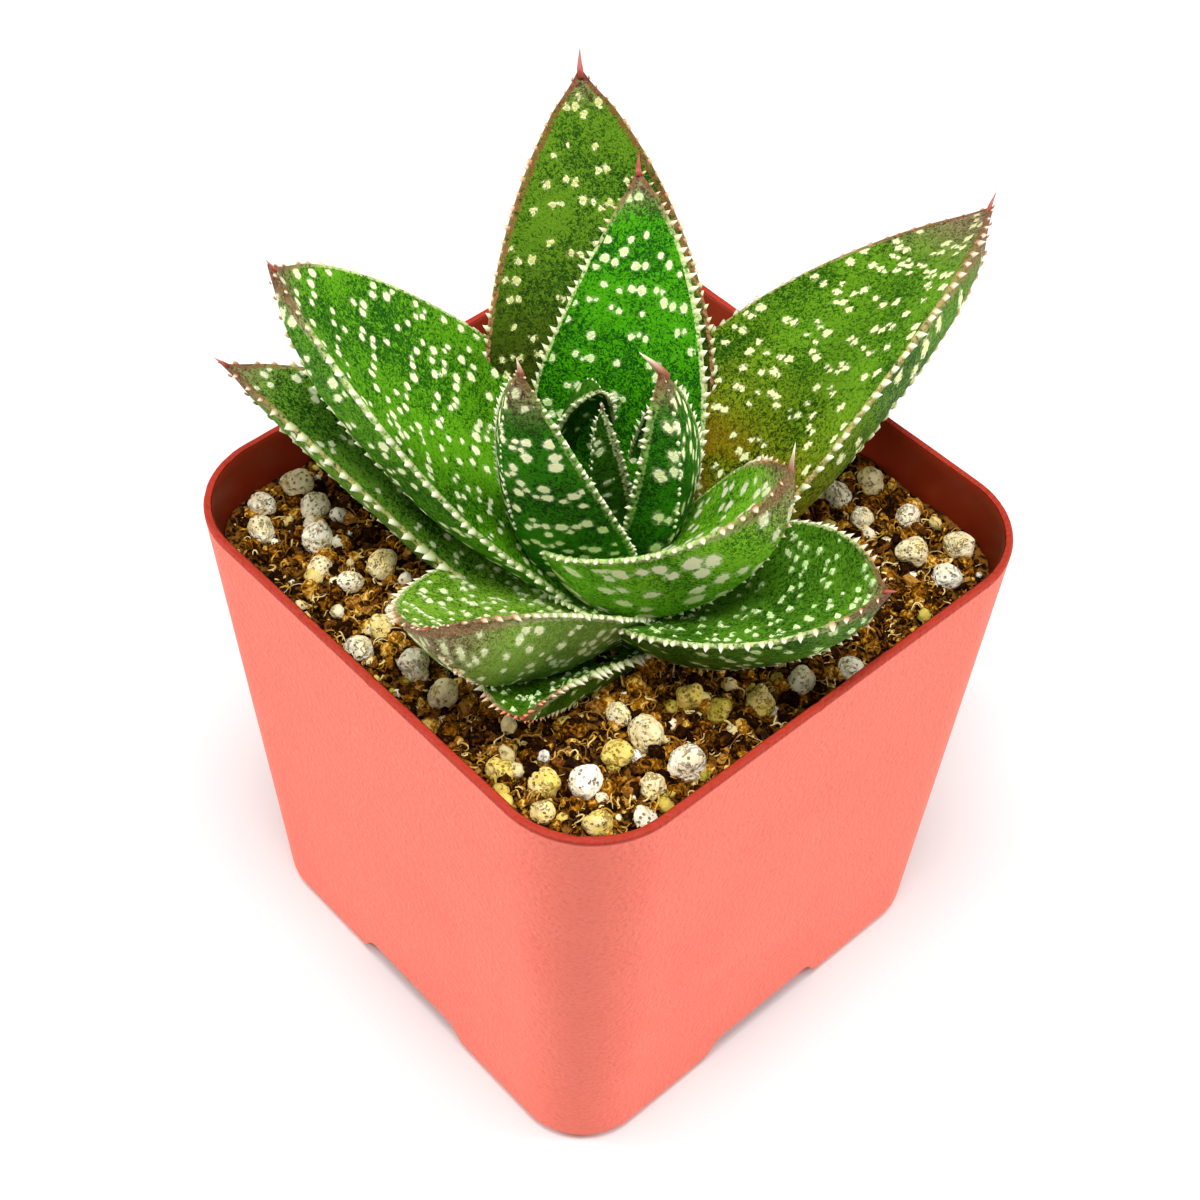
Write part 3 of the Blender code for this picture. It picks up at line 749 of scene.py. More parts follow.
# Each blade's heading at its base and how far it swings, its rise and roll at the base and
# the tip, degrees; its length, width, thickness, hollow and base point, millimetres; where
# the keel lies across it, -1 to 1, and how full its outline and how slim its neck are.
LEAVES = {
    "leaf_heart_spear": dict(heading=(-81, -2), rise=(78, 82), roll=(0, 2), length=18, width=5,
        thick=2.6, keel=0.0, hollow=0.3, full=2.4, neck=0.8, base=(1.2, 0.4, 57.3)),
    "leaf_heart_hooded": dict(heading=(169, -4), rise=(47, 131), roll=(-2, -9), length=18,
        width=7, thick=1.8, keel=0.2, hollow=2.0, full=3.2, neck=0.8, base=(-0.9, 0.0, 56.5)),
    "leaf_heart_small": dict(heading=(81, 5), rise=(71, 96), roll=(1, 3), length=15.5, width=7,
        thick=1.6, keel=0.2, hollow=1.0, full=2.6, neck=0.8, base=(2.2, 1.6, 57.3)),
    "leaf_inner_right": dict(heading=(3, 3), rise=(62, 108), roll=(-3, -1), length=27,
        width=10, thick=3.0, keel=0.4, hollow=0.4, full=3.3, neck=0.8, base=(3.4, -0.1, 54.6)),
    "leaf_inner_left": dict(heading=(-84, -12), rise=(67, 80), roll=(19, 4), length=35,
        width=14.5, thick=3.2, keel=0.3, hollow=1.1, full=3.3, neck=0.8,
        base=(2.4, -3.1, 52.6)),
    "leaf_centre_tall": dict(heading=(112, 29), rise=(88, 23), roll=(-6, -23), length=36.5,
        width=20, thick=4.0, keel=0.2, hollow=1.5, full=2.1, neck=0.8, base=(-0.9, 0.5, 55.0)),
    "leaf_front_sweeping": dict(heading=(-20, 70), rise=(39, 44), roll=(-19, -8), length=32.5,
        width=16.5, thick=5.2, keel=0.1, hollow=3.1, full=4.3, neck=0.7,
        base=(-2.3, -2.9, 56.0)),
    "leaf_back_tall": dict(heading=(142, 5), rise=(60, 45), roll=(0, -2), length=44.5,
        width=23.5, thick=4.0, keel=0.2, hollow=1.5, full=2.8, neck=0.8,
        base=(-2.1, 1.7, 52.9)),
    "leaf_right_low": dict(heading=(0, 20), rise=(34, 26), roll=(-13, 13), length=35.5,
        width=19.5, thick=5.0, keel=0.3, hollow=3.0, full=4.2, neck=0.8,
        base=(1.6, -2.2, 53.5)),
    "leaf_front_left": dict(heading=(-105, 42), rise=(28, 33), roll=(12, 22), length=35,
        width=19.5, thick=5.5, keel=-0.1, hollow=2.6, full=4.7, neck=0.7,
        base=(6.0, 0.4, 53.0)),
    "leaf_left_upper": dict(heading=(211, 26), rise=(42, 50), roll=(3, -3), length=46.5,
        width=25, thick=5.6, keel=-0.5, hollow=1.4, full=3.6, neck=0.8, base=(2.6, 0.7, 53.5)),
    "leaf_right_large": dict(heading=(83, 4), rise=(54, 3), roll=(-1, -30), length=52.5,
        width=24, thick=5.5, keel=0.7, hollow=1.6, full=3.8, neck=0.8, base=(3.1, -1.0, 52.4)),
    "leaf_left_lower": dict(heading=(207, 14), rise=(40, 21), roll=(-1, 1), length=40.5,
        width=21, thick=5.2, keel=-0.5, hollow=1.6, full=2.1, neck=0.8,
        base=(1.0, -3.9, 51.7)),
    "leaf_front_low": dict(heading=(-85, 49), rise=(4, 36), roll=(4, 14), length=26.5,
        width=20.5, thick=3.5, keel=-0.5, hollow=2.8, full=1.3, neck=0.9,
        base=(4.9, -3.8, 53.6)),
}
# Each leaf's skin, millimetres where it is a length: its greens, the size, pitch, fill,
# stretch and raggedness of its spots, the reach of the mauve and the red at the tip, the
# height of its warts, the patch low on it (sun-worn on the large right leaf, painted shade on
# the tall back leaf) and the burnt middle of that, the bloom on its back, its teeth and their
# redness, and the thorn's length, lean and lift. The greens and spot colours are partly each
# leaf's own colour and partly painted light and shade: lighter on leaves turned from the
# lamps, darker on leaves turned to them.
SKINS = {
    "leaf_heart_spear": dict(light=(0.035, 0.16, 0.002), dark=(0.006, 0.04, 0.001),
        spot_half=0.26, mauve=0.6, teeth=0.8, blush=0.3, pale_thorn=1.0),
    "leaf_heart_hooded": dict(light=(0.035, 0.17, 0.002), dark=(0.006, 0.04, 0.001),
        spot_half=0.30, mauve=0.6, teeth=0.9, blush=0.3, pale_thorn=1.0),
    "leaf_heart_small": dict(light=(0.035, 0.17, 0.002), dark=(0.006, 0.04, 0.001),
        spot_half=0.26, mauve=0.6, teeth=0.8, blush=0.3, pale_thorn=1.0),
    "leaf_inner_right": dict(light=(0.024, 0.20, 0.001), dark=(0.002, 0.034, 0.001),
        spot=(0.95, 1.0, 0.50), spot_half=0.33, pitch=1.05, fill=1.0, stretch=1.5, mauve=5.0,
        blush=4.0, tooth_gap=0.85, tooth_tall=0.62, horn=(0.30, 0.46, 0.12), pale_thorn=0.8,
        thorn=(3.4, 0.55, 0.0)),
    "leaf_inner_left": dict(light=(0.028, 0.21, 0.001), dark=(0.002, 0.036, 0.001),
        spot=(1.0, 1.0, 0.56), spot_half=0.47, pitch=1.15, fill=1.0, stretch=0.75, mauve=6.5,
        blush=4.0, tooth_gap=0.85, tooth_tall=0.62, horn=(0.30, 0.46, 0.12), pale_thorn=0.6,
        thorn=(1.5, 0.0, 0.0)),
    "leaf_centre_tall": dict(light=(0.058, 0.33, 0.001), dark=(0.004, 0.070, 0.001),
        spot_half=0.42, pitch=1.5, fill=0.62, mauve=6.0, thorn=(1.9, 0.0, 0.0)),
    "leaf_front_sweeping": dict(light=(0.24, 0.58, 0.024), dark=(0.028, 0.16, 0.002),
        spot=(1.0, 1.0, 0.62), spot_half=0.40, pitch=1.22, fill=1.0, stretch=1.5, mauve=7.0,
        pale_thorn=0.9, thorn=(3.0, 0.0, 0.95)),
    # the near black colour of the patch low on this leaf is painted shade
    "leaf_back_tall": dict(light=(0.115, 0.255, 0.010), dark=(0.012, 0.060, 0.002),
        spot=(0.66, 0.66, 0.20), spot_half=0.37, pitch=1.6, fill=0.72, ragged=0.55, mauve=5.0,
        patch=1.0, wear_and_shade=(0.040, 0.058, 0.001), horn=(0.60, 0.26, 0.13), blush=30.0,
        tooth_tall=0.5, thorn=(2.1, 0.0, 0.0)),
    "leaf_right_low": dict(light=(0.10, 0.27, 0.012), dark=(0.010, 0.060, 0.001),
        spot=(0.54, 0.84, 0.26), spot_half=0.33, pitch=1.3, fill=0.95, warts=0.45, mauve=4.0,
        thorn=(1.2, 0.0, 0.2)),
    "leaf_front_left": dict(light=(0.24, 0.46, 0.034), dark=(0.040, 0.14, 0.003), bloom=0.4,
        spot=(0.90, 1.0, 0.50), spot_half=0.32, pitch=1.10, fill=1.0, stretch=1.4, warts=0.30,
        mauve=8.0, thorn=(1.2, 0.0, 0.2)),
    "leaf_left_upper": dict(light=(0.110, 0.35, 0.006), dark=(0.008, 0.075, 0.001),
        spot=(0.92, 1.0, 0.52), spot_half=0.42, pitch=1.5, fill=0.85, mauve=5.0,
        tooth_gap=1.35, tooth_tall=0.56, thorn=(1.2, 0.0, 0.2)),
    "leaf_right_large": dict(light=(0.130, 0.31, 0.010), dark=(0.014, 0.072, 0.001),
        spot=(0.95, 0.96, 0.42), spot_half=0.42, pitch=1.6, fill=0.80, ragged=0.60, mauve=12.0,
        patch=0.9, burnt=0.6, blush=20.0, tooth_gap=1.35, tooth_tall=0.56,
        horn=(0.60, 0.42, 0.20), thorn=(1.9, 0.0, 0.9)),
    "leaf_left_lower": dict(light=(0.17, 0.38, 0.03), dark=(0.012, 0.070, 0.002),
        spot=(0.95, 1.0, 0.62), spot_half=0.40, pitch=1.6, fill=0.62, mauve=7.0, tooth_gap=1.6,
        tooth_tall=0.80, horn=(0.70, 0.52, 0.24), thorn=(1.2, 0.0, 0.2)),
    "leaf_front_low": dict(light=(0.080, 0.21, 0.005), dark=(0.008, 0.050, 0.001),
        spot=(0.50, 0.78, 0.24), spot_half=0.32, pitch=1.4, fill=0.85, warts=0.45, mauve=3.0,
        blush=9.0, teeth=1.2, ruddy=2.4, thorn=(1.0, 0.0, 0.2)),
}


def leaf_frame(leaf, s):
    """Midrib points and the leaf's across, up and along directions at fractions s. The
    heading and the rise change evenly, and the midrib is their running sum."""
    def direction(t):
        """The along and up directions at fraction t."""
        turn = np.radians(leaf["heading"][0] + leaf["heading"][1] * t)
        rise = np.radians(leaf["rise"][0] + (leaf["rise"][1] - leaf["rise"][0]) * t)
        along = np.stack([np.cos(turn) * np.cos(rise), np.sin(turn) * np.cos(rise),
                          np.sin(rise)], axis=-1)
        up = np.stack([-np.cos(turn) * np.sin(rise), -np.sin(turn) * np.sin(rise),
                       np.cos(rise)], axis=-1)
        return along, up

    fine = np.linspace(0, 1, 101)
    steps = direction((fine[1:] + fine[:-1]) / 2)[0]
    path = np.vstack([np.zeros(3), np.cumsum(steps, axis=0)]) * leaf["length"] / 100
    place = np.stack([np.interp(s, fine, path[:, i]) for i in range(3)], axis=-1)
    place += np.array(leaf["base"])
    along, up = direction(s)
    across = np.cross(along, up)
    roll = np.radians(leaf["roll"][0] + (leaf["roll"][1] - leaf["roll"][0]) * s)[:, None]
    return (place, across * np.cos(roll) - up * np.sin(roll),
            up * np.cos(roll) + across * np.sin(roll), along)


def leaf_shape(leaf, s):
    """Width at s as a share of the leaf's full width: full at the middle, drawn in to a
    slender point at 1."""
    plain = (1 - s ** leaf["full"]) * (leaf["neck"] + (1 - leaf["neck"]) * ease(s / 0.45))
    return plain * (1 - 0.30 * ease((s - 0.90) / 0.10))


def leaf_height(leaf, u, shape, under):
    """Height of the upper face, a shallow channel, or of the keeled back below it."""
    channel = -leaf["hollow"] * (1 - u * u) * shape
    k = leaf["keel"]
    side = np.where(u < k, np.abs((u - k) / (1 + k)), np.abs((u - k) / (1 - k)))
    ridge = 1 - np.maximum(side, 0.0) ** 1.4
    return channel - under * leaf["thick"] * ridge * shape ** 0.8


def spot_field(across, along, width, length, seed, skin, under):
    """How far each point lies inside the nearest spot, in millimetres, negative outside.
    Spots are dropped on a shaken grid, thick in loose bands across the blade and thin
    between the bands; many are doubled side by side, and none overlap."""
    source = np.random.default_rng(seed)
    pitch = skin.get("pitch", 1.4)
    stretch = skin.get("stretch", 1.0) * (1.25 if under else 1.0)
    half_width = np.max(width) / 2
    x, y = np.meshgrid(np.arange(-half_width, half_width, pitch),
                       np.arange(1.5, length, pitch * (0.75 + 0.35 * stretch)))
    x = (x + source.uniform(-0.42, 0.42, x.shape) * pitch).ravel()
    y = (y + source.uniform(-0.40, 0.40, y.shape) * pitch).ravel()
    bend = 0.9 * np.sin(x * 0.35 + seed) + 0.035 * x * x
    band = 0.5 + 0.5 * np.cos(2 * math.pi * (y + bend) / BAND_PITCH)
    keep = source.random(x.size) < skin.get("fill", 0.8) * (0.22 + 0.95 * band)
    keep &= np.abs(x) < np.interp(y, along[:, 0], width) / 2 - SPOT_CLEAR
    x, y = x[keep], y[keep]
    twin = source.random(x.size) < TWIN_SHARE
    half = skin["spot_half"] * source.uniform(0.72, 1.22, x.size)
    x = np.concatenate([x, x[twin] + half[twin] * source.choice([-2.05, 2.05], twin.sum())])
    y = np.concatenate([y, y[twin] + source.normal(0, 0.28, twin.sum())])
    half = np.concatenate([half, half[twin] * 0.85])
    tall = half * stretch * source.uniform(0.85, 1.25, half.size)
    wide_gap = (x[:, None] - x) / (half[:, None] + half)
    tall_gap = (y[:, None] - y) / (tall[:, None] + tall)
    crowded = np.tril(wide_gap ** 2 + tall_gap ** 2 < 0.95, -1).any(axis=1)
    x, y, half, tall = x[~crowded], y[~crowded], half[~crowded], tall[~crowded]
    best = np.full(across.shape, -5.0)
    for centre_x, centre_y, a, b in zip(x, y, half, tall):
        gap = np.sqrt(((across - centre_x) / a) ** 2 + ((along - centre_y) / b) ** 2)
        best = np.maximum(best, (1 - gap) * min(a, b))
    return best


def build_blade(name, leaf, skin, seed):
    """Rings of points round the blade: upper face, rounded margin, back, other margin."""
    length, width = leaf["length"], leaf["width"]
    rows = int(length / ROW_GAP) + 12
    cells = int(width / CELL_GAP) + 8
    s = 1 - (1 - np.linspace(0, 0.997, rows)) ** 1.35
    spread = np.sin(np.linspace(-1, 1, cells) * math.pi / 2 * CROWDING)
    spread /= math.sin(math.pi / 2 * CROWDING)
    k = leaf["keel"]
    half_cells = cells // 2
    lower = np.concatenate([np.linspace(1, k, half_cells, endpoint=False),
                            np.linspace(k, -1, half_cells + 1)])
    arc = np.radians([58, 20, -20, -58])
    u = np.concatenate([spread, np.ones(4), lower, -np.ones(4)])
    under = np.concatenate([np.zeros(cells), [0.2, 0.4, 0.6, 0.8], np.ones(lower.size),
                            [0.8, 0.6, 0.4, 0.2]])
    bulge = np.concatenate([np.zeros(cells), np.cos(arc), np.zeros(lower.size),
                            np.cos(arc)])
    lift = np.concatenate([np.ones(cells), np.sin(arc), -np.ones(lower.size),
                           -np.sin(arc)])
    lift = np.where(bulge > 0, lift, lift * math.sin(math.radians(75)))
    shape = leaf_shape(leaf, s)[:, None]
    place, side, up = leaf_frame(leaf, s)[:3]
    blade = shape * width
    edge = MARGIN_ROUND * np.minimum(1, 2.2 * shape)
    face = (under > 0.9).astype(float)
    height = np.where(bulge > 0, 0.0, leaf_height(leaf, u, shape, face)) + lift * edge
    across = u * (blade / 2 - 0.15) + np.sign(u) * bulge * edge * (np.abs(u) > 0.99)
    along = np.broadcast_to((s * length)[:, None], across.shape)
    margin = np.where(bulge > 0, 0.0, (1 - np.abs(u)) * blade / 2)
    spots = np.where(face > 0,
                     spot_field(across, along, blade[:, 0], length, seed + 1, skin, True),
                     spot_field(across, along, blade[:, 0], length, seed, skin, False))
    spots = np.where(margin < 0.35, -3.0, spots)
    flat = np.stack([across, along, face * 40.0 + np.zeros_like(across)], -1)
    sway = 0.15 * lumps(flat, 5.0, seed + 2) + 0.05 * lumps(flat, 1.1, seed + 3)
    calm = ease(margin / 2.0) * ease(shape * 2.5)
    warts = skin.get("warts", 0.05) * ease(spots / 0.34) * (1 - 0.6 * face)
    rise = (sway * calm + warts) * np.where(face > 0, -1.0, 1.0)
    points = (place[:, None] + side[:, None] * across[..., None]
              + up[:, None] * (height + rise)[..., None])
    tip = leaf_frame(leaf, np.array([1.0]))[0]
    made = shut_rings(name.replace("leaf", "blade"), points * MM, points[0].mean(axis=0) * MM,
                      tip * MM)
    paint(made, spot=np.append(spots, [-3, -3]), margin=np.append(margin, [5, 0]),
          back=np.append(np.broadcast_to(under, across.shape), [1, 0]),
          along=np.append(along, [0, length]), to_tip=np.append(length - along, [length, 0]))
    return made


def shaken(tree, value, cloud, reach):
    """value moved up and down by a cloud, so that the edge drawn from it is ragged."""
    push = times(tree, maths(tree, "SUBTRACT", cloud, 0.5), reach)
    return maths(tree, "ADD", value, push)


def leaf_skin_group():
    """Shared skin: finely wrinkled green, lighter on the wrinkle ridges as a partly painted
    highlight, cream spots, horny margin, mauve tip.
    """
    tree = bpy.data.node_groups.new("leaf_skin", "ShaderNodeTree")
    face = tree.interface
    for name in ("Light", "Dark", "Horn", "Spot", "Wear_And_Shade"):
        face.new_socket(name, in_out="INPUT", socket_type="NodeSocketColor")
    for name in ("Mauve", "Patch", "Burnt", "Blush", "Ragged", "Bloom"):
        face.new_socket(name, in_out="INPUT", socket_type="NodeSocketFloat")
    face.new_socket("Color", in_out="OUTPUT", socket_type="NodeSocketColor")
    face.new_socket("Height", in_out="OUTPUT", socket_type="NodeSocketFloat")
    face.new_socket("Roughness", in_out="OUTPUT", socket_type="NodeSocketFloat")
    given = node(tree, "NodeGroupInput").outputs
    broad = noise(tree, 150.0, 3.0)
    wrinkle_and_highlight = noise(tree, 2900.0, 2.0, 1.4)
    ragged = noise(tree, 2900.0)
    speckle = noise(tree, 5200.0, 1.0)
    # the green is lighter where the wrinkles rise: partly the skin's own mottling, partly a
    # painted highlight on the ridges
    mix = maths(tree, "ADD", times(tree, broad, 0.40), times(tree, wrinkle_and_highlight, 0.75))
    green = blend(tree, ramp(tree, mix, 0.47, 0.65), given["Dark"], given["Light"])
    pale = times(tree, ramp(tree, speckle, 0.60, 0.72), 0.10)
    green = blend(tree, pale, green, PALE_FLECK)
    green = blend(tree, times(tree, field(tree, "back"), given["Bloom"]), green, BLOOM)
    # a patch low on the blade, lighter on the wrinkle ridges as painted highlight: sun-worn
    # yellow-brown on the large right leaf, near black as painted shade on the tall back leaf;
    # dull orange in its middle
    along = field(tree, "along")
    wear_and_shade = times(tree, ramp(tree, broad, 0.26, 0.50), ramp(tree, along, 31.0, 15.0))
    wear_and_shade = times(tree, times(tree, wear_and_shade, given["Patch"]), 0.92)
    streak_and_highlight = ramp(tree, wrinkle_and_highlight, 0.38, 0.62)
    green = blend(tree, wear_and_shade, green, blend(tree, streak_and_highlight, WEAR_AND_SHADE_DARK, given["Wear_And_Shade"]))
    burnt = times(tree, ramp(tree, broad, 0.50, 0.66), ramp(tree, along, 22.0, 12.0))
    green = blend(tree, times(tree, burnt, given["Burnt"]), green, BURNT)
    # mauve-brown tip, ragged where it fades into the green, and lighter on the wrinkle ridges
    # as painted highlight
    to_tip = field(tree, "to_tip")
    reach = shaken(tree, to_tip, wrinkle_and_highlight, 5.0)
    tip = ramp(tree, maths(tree, "DIVIDE", reach, given["Mauve"]), 1.0, 0.20)
    dusk = blend(tree, streak_and_highlight, DUSK_DARK, DUSK_LIGHT)
    green = blend(tree, times(tree, tip, 0.85), green, dusk)
    # cream spots with a faint paler ring round them
    edge = shaken(tree, field(tree, "spot"), ragged,
                  maths(tree, "ADD", 0.30, given["Ragged"]))
    halo = times(tree, ramp(tree, edge, -0.15, 0.0), 0.16)
    green = blend(tree, halo, green, given["Spot"])
    inside = ramp(tree, edge, 0.0, 0.09)
    heart = ramp(tree, maths(tree, "ADD", edge, speckle), 0.72, 0.50)
    cream = blend(tree, heart, given["Spot"], SPOT_HEART)
    shown = maths(tree, "SUBTRACT", 1.0, times(tree, tip, 0.5))
    green = blend(tree, times(tree, inside, shown), green, cream)
    # a thin horny line along the margin, wider and dark red towards the tip
    blush = ramp(tree, maths(tree, "DIVIDE", to_tip, given["Blush"]), 1.1, 0.2)
    reach = maths(tree, "MULTIPLY_ADD", blush, 0.42, 0.14)
    line = maths(tree, "SUBTRACT", reach, field(tree, "margin"))
    horn = ramp(tree, shaken(tree, line, ragged, 0.22), -0.04, 0.06)
    rind = blend(tree, times(tree, blush, 0.9), given["Horn"], RIND_RED)
    horn = times(tree, times(tree, horn, ramp(tree, ragged, 0.30, 0.62)), 0.85)
    colour = blend(tree, horn, green, rind)
    relief = maths(tree, "ADD", times(tree, wrinkle_and_highlight, 1.4), times(tree, speckle, 0.35))
    relief = maths(tree, "ADD", relief, times(tree, inside, 0.35))
    rough = straight(tree, wrinkle_and_highlight, 0.62, 0.40)
    node(tree, "NodeGroupOutput", {"Color": colour, "Height": relief, "Roughness": rough})
    return tree


LEAF_SKIN = leaf_skin_group()


def leaf_finish(name, skin):
    """The shared skin with one leaf's own colours."""
    made = bpy.data.materials.new(name.replace("leaf", "skin"))
    made.use_nodes = True
    tree = made.node_tree
    values = {"Light": (*skin["light"], 1.0), "Dark": (*skin["dark"], 1.0),
              "Horn": (*skin.get("horn", HORN), 1.0),
              "Spot": (*skin.get("spot", CREAM_GREEN), 1.0),
              "Wear_And_Shade": (*skin.get("wear_and_shade", SERE), 1.0), "Mauve": skin["mauve"],
              "Blush": skin.get("blush", skin["mauve"] + 3.0),
              "Patch": skin.get("patch", 0.0), "Burnt": skin.get("burnt", 0.0),
              "Ragged": skin.get("ragged", 0.1), "Bloom": skin.get("bloom", 0.02)}
    skin_node = tree.nodes.new("ShaderNodeGroup")
    skin_node.node_tree = LEAF_SKIN
    for key, value in values.items():
        skin_node.inputs[key].default_value = value
    shader = tree.nodes["Principled BSDF"]
    shader.inputs["Specular IOR Level"].default_value = SKIN_GLOSS
    tree.links.new(skin_node.outputs["Color"], shader.inputs["Base Color"])
    tree.links.new(skin_node.outputs["Roughness"], shader.inputs["Roughness"])
    bump = node(tree, "ShaderNodeBump", {"Height": skin_node.outputs["Height"],
                "Distance": SKIN_RELIEF, "Strength": 1.0})
    tree.links.new(bump.outputs[0], shader.inputs["Normal"])
    return made


for order, (leaf_name, leaf) in enumerate(LEAVES.items()):
    blade = build_blade(leaf_name, leaf, SKINS[leaf_name], 100 + 10 * order)
    blade.data.materials.append(leaf_finish(leaf_name, SKINS[leaf_name]))
    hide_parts(leaf_name)
    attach(blade, "root")

# ------------------------------------------------------------------ the teeth and thorns
# Hard white teeth that grow out of the horny margin and lean towards the tip, smaller
# ones along the keel, and one red thorn at the end of each leaf.
TOOTH_SIDES = 6
TOOTH_GAP = 1.05                # the usual gap, height and thickness, millimetres
TOOTH_TALL = 0.76
TOOTH_THICK = 0.30
KEEL_TOOTH_TALL = 0.34
KEEL_TOOTH_THICK = 0.20


def tooth_shape():
    """A bent cone on an oval foot: points as shares along, through and out."""
    turn = np.arange(TOOTH_SIDES) * 2 * math.pi / TOOTH_SIDES
    rows = []
    for out, wide, lean in ((-0.35, 1.0, 0.0), (0.08, 0.84, 0.02), (0.50, 0.44, 0.20)):
        rows.append(np.stack([wide * np.cos(turn) + lean, wide * np.sin(turn),
                              np.full(TOOTH_SIDES, out)], -1))
    points = np.vstack([*rows, [[0.55, 0, 1.0]], [[0, 0, -0.35]]])
    quads = ring_quads(3, TOOTH_SIDES)
    last = 3 * TOOTH_SIDES
    tris = np.vstack([fan(np.arange(last - TOOTH_SIDES, last), last),
                      fan(np.arange(TOOTH_SIDES), last + 1, True)])
    return points, quads, tris


def tooth_rows(leaf, skin, source):
    """Feet, directions, sizes and distances from the tip of the teeth on both margins and
    the keel, and then of the thorn, whose distance is a mark of -1 or less."""
    length, width = leaf["length"], leaf["width"]
    gap = skin.get("tooth_gap", TOOTH_GAP)
    bulk = skin.get("teeth", 1.0) * (0.75 + 0.25 * gap / TOOTH_GAP)
    found = []
    tall = skin.get("tooth_tall", TOOTH_TALL)
    for u, start, tall in ((-1.0, 0.05, tall), (1.0, 0.05, tall),
                           (leaf["keel"], 0.45, KEEL_TOOTH_TALL)):
        keel = abs(u) < 0.99
        s = np.arange(start, 0.985, gap / length)
        s = np.clip(s + source.normal(0, 0.16 / length, s.size), 0, 0.99)
        place, side, up, along = leaf_frame(leaf, s)
        shape = leaf_shape(leaf, s)
        half = (shape * width / 2)[:, None]
        if keel:
            rise = leaf_height(leaf, np.full(s.size, u), shape, 1.0) - MARGIN_ROUND * 0.9
            foot = place + side * u * half + up * rise[:, None]
            out = -up
        else:
            foot = place + side * np.sign(u) * (half - 0.15 + MARGIN_ROUND * 0.7)
            out = side * np.sign(u) + 0.15 * up * source.normal(0, 1, (s.size, 1))
        out = out + 0.30 * along
        out /= np.linalg.norm(out, axis=1)[:, None]
        forward = along - out * np.sum(along * out, axis=1)[:, None]
        forward /= np.linalg.norm(forward, axis=1)[:, None]
        through = np.cross(out, forward)
        size = np.column_stack([source.uniform(0.31, 0.43, s.size) * gap,
                                np.full(s.size, KEEL_TOOTH_THICK if keel else TOOTH_THICK),
                                tall * source.uniform(0.55, 1.25, s.size)]) * bulk
        size *= np.clip(shape * 2.4, 0.45, 1.0)[:, None]
        found.append((foot, forward, through, out, size, (1 - s) * length))
    reach, lean, lift = skin.get("thorn", (0.5, 0.0, 0.0))
    place, side, up, along = leaf_frame(leaf, np.array([0.985]))
    along = along + lean * side + lift * up
    along /= np.linalg.norm(along)
    side = np.cross(along, up)
    thick = 0.13 + 0.10 * reach
    thorn = np.array([[thick, thick, reach]])
    pale = skin.get("pale_thorn", 0.0)
    found.append((place, side, up, along, thorn, np.array([-1.0 - pale])))
    return [np.concatenate(part) for part in zip(*found)]


def build_teeth(name, leaf, skin, seed):
    """Every tooth of one leaf: the tooth's shape times its size, along its directions."""
    source = np.random.default_rng(seed)
    points, quads, tris = tooth_shape()
    foot, forward, through, out, size, to_tip = tooth_rows(leaf, skin, source)
    scaled = points[None] * size[:, None]
    placed = (foot[:, None] + forward[:, None] * scaled[..., :1]
              + through[:, None] * scaled[..., 1:2] + out[:, None] * scaled[..., 2:])
    made = piece(name.replace("leaf", "teeth"), placed * MM,
                 copied(quads, len(foot), len(points)), copied(tris, len(foot), len(points)))
    rise = np.broadcast_to(points[None, :, 2], placed.shape[:2])
    blush = skin.get("blush", skin["mauve"] + 3.0)
    near = np.clip(1 - to_tip / blush, 0, 1) * skin.get("ruddy", 1.0)
    near = np.where(to_tip < 0, to_tip, near)
    paint(made, rise=rise, near_tip=np.repeat(near, len(points)))
    return made


TOOTH_FOOT, TOOTH_POINT = (0.62, 0.66, 0.30, 1.0), (0.88, 0.86, 0.66, 1.0)
PINK_FOOT, PINK_POINT = (0.46, 0.12, 0.06, 1.0), (0.92, 0.64, 0.44, 1.0)
RED_FOOT, RED_POINT = (0.36, 0.050, 0.028, 1.0), (0.52, 0.15, 0.09, 1.0)
STRAW_FOOT, STRAW_POINT = (0.42, 0.14, 0.08, 1.0), (0.90, 0.78, 0.58, 1.0)
RUDDY = (0.86, 0.21, 0.09, 1.0)


def tooth_colour(tree):
    """Cream at the foot, white at the point, pink to red near the leaf's tip. The thorn,
    marked by a negative near_tip, is red at -1 and straw at -2."""
    rise = field(tree, "rise")
    near = field(tree, "near_tip")
    body = blend(tree, ramp(tree, rise, -0.1, 0.6), TOOTH_FOOT, TOOTH_POINT)
    pink = blend(tree, ramp(tree, rise, -0.1, 0.5), PINK_FOOT, PINK_POINT)
    body = blend(tree, times(tree, ramp(tree, near, 0.05, 0.6), 0.8), body, pink)
    body = blend(tree, ramp(tree, near, 1.1, 1.7), body, RUDDY)
    red = blend(tree, ramp(tree, rise, 0.0, 1.0), RED_FOOT, RED_POINT)
    straw = blend(tree, ramp(tree, rise, -0.1, 0.8), STRAW_FOOT, STRAW_POINT)
    thorn = blend(tree, ramp(tree, near, -1.0, -2.0), red, straw)
    return blend(tree, ramp(tree, near, -0.2, -0.6), body, thorn)


tooth_finish = finish_of("horny_teeth", tooth_colour, 0.42)
for order, (leaf_name, leaf) in enumerate(LEAVES.items()):
    teeth = build_teeth(leaf_name, leaf, SKINS[leaf_name], 300 + order)
    teeth.data.materials.append(tooth_finish)
    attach(teeth, "root")

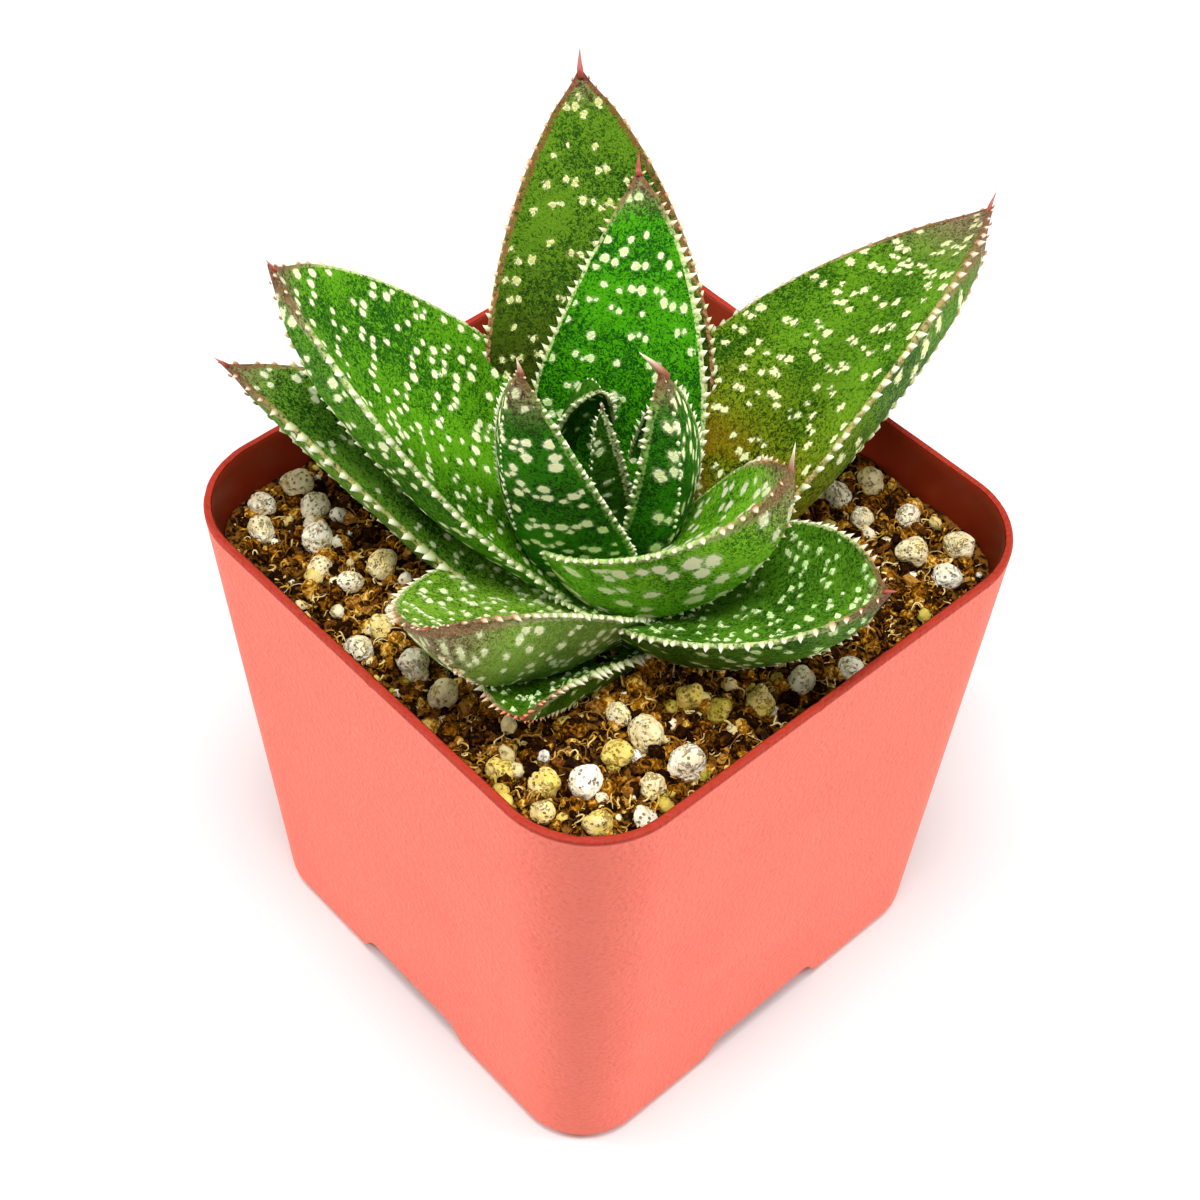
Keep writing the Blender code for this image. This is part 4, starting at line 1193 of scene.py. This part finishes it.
# --------------------------------------------------------------- the table and the light
# A pale seamless floor under broad soft studio lights, and the camera that looks down on
# the pot's front corner.
PAPER_DULL = (0.74, 0.74, 0.74, 1.0)
PAPER_LIGHT = (0.77, 0.77, 0.77, 1.0)
floor = piece("floor", [[-2, -2, 0], [2, -2, 0], [2, 2, 0], [-2, 2, 0]], [[0, 1, 2, 3]],
              facing=False)
floor.data.materials.append(finish_of(
    "white_paper", lambda tree: blend(tree, noise(tree, 40.0), PAPER_DULL, PAPER_LIGHT), 0.9))
VIEW_TURN = math.radians(46.54)
VIEW_DROP = math.radians(48.17)
VIEW_ROLL = math.radians(1.855)
VIEW_LENS = 65.45
VIEW_REACH = 228.5 * MM
VIEW_POINT = Vector((-6.30, 5.34, 36.53)) * MM


def add_camera():
    """Looks at VIEW_POINT from a turn round the pot and a drop below the level."""
    back = Vector((math.sin(VIEW_TURN) * math.cos(VIEW_DROP),
                   -math.cos(VIEW_TURN) * math.cos(VIEW_DROP), math.sin(VIEW_DROP)))
    right = Vector((math.cos(VIEW_TURN), math.sin(VIEW_TURN), 0))
    up = back.cross(right)
    side = right * math.cos(VIEW_ROLL) + up * math.sin(VIEW_ROLL)
    top = up * math.cos(VIEW_ROLL) - right * math.sin(VIEW_ROLL)
    lens = bpy.data.cameras.new("camera")
    lens.sensor_width = 36.0
    lens.lens = VIEW_LENS
    lens.clip_start = 0.01
    made = bpy.data.objects.new("camera", lens)
    bpy.context.scene.collection.objects.link(made)
    turn = Matrix((side, top, back)).transposed().to_4x4()
    made.matrix_world = Matrix.Translation(VIEW_POINT + back * VIEW_REACH) @ turn
    bpy.context.scene.camera = made


def add_light(name, place, size, power):
    """A round soft light of a size in metres and a power in watts, aimed at the plant."""
    lamp = bpy.data.lights.new(name, "AREA")
    lamp.shape = "DISK"
    lamp.size = size
    lamp.energy = power
    made = bpy.data.objects.new(name, lamp)
    bpy.context.scene.collection.objects.link(made)
    made.location = place
    aim = Vector((0, 0, 0.05)) - made.location
    made.rotation_euler = aim.to_track_quat("-Z", "Y").to_euler()


add_camera()
add_light("top_light", (0.10, -0.10, 0.80), 0.36, 6.0)
add_light("front_light", (0.42, -0.40, 0.72), 0.40, 0.95)
add_light("left_light", (-0.52, -0.46, 0.32), 0.30, 3.6)
add_light("right_light", (0.46, 0.52, 0.32), 0.30, 3.4)
world = bpy.data.worlds.new("studio")
world.use_nodes = True
backdrop = world.node_tree.nodes["Background"]
backdrop.inputs["Color"].default_value = (1, 1, 1, 1)
backdrop.inputs["Strength"].default_value = 0.20
bpy.context.scene.world = world
bpy.context.scene.view_settings.view_transform = "Standard"
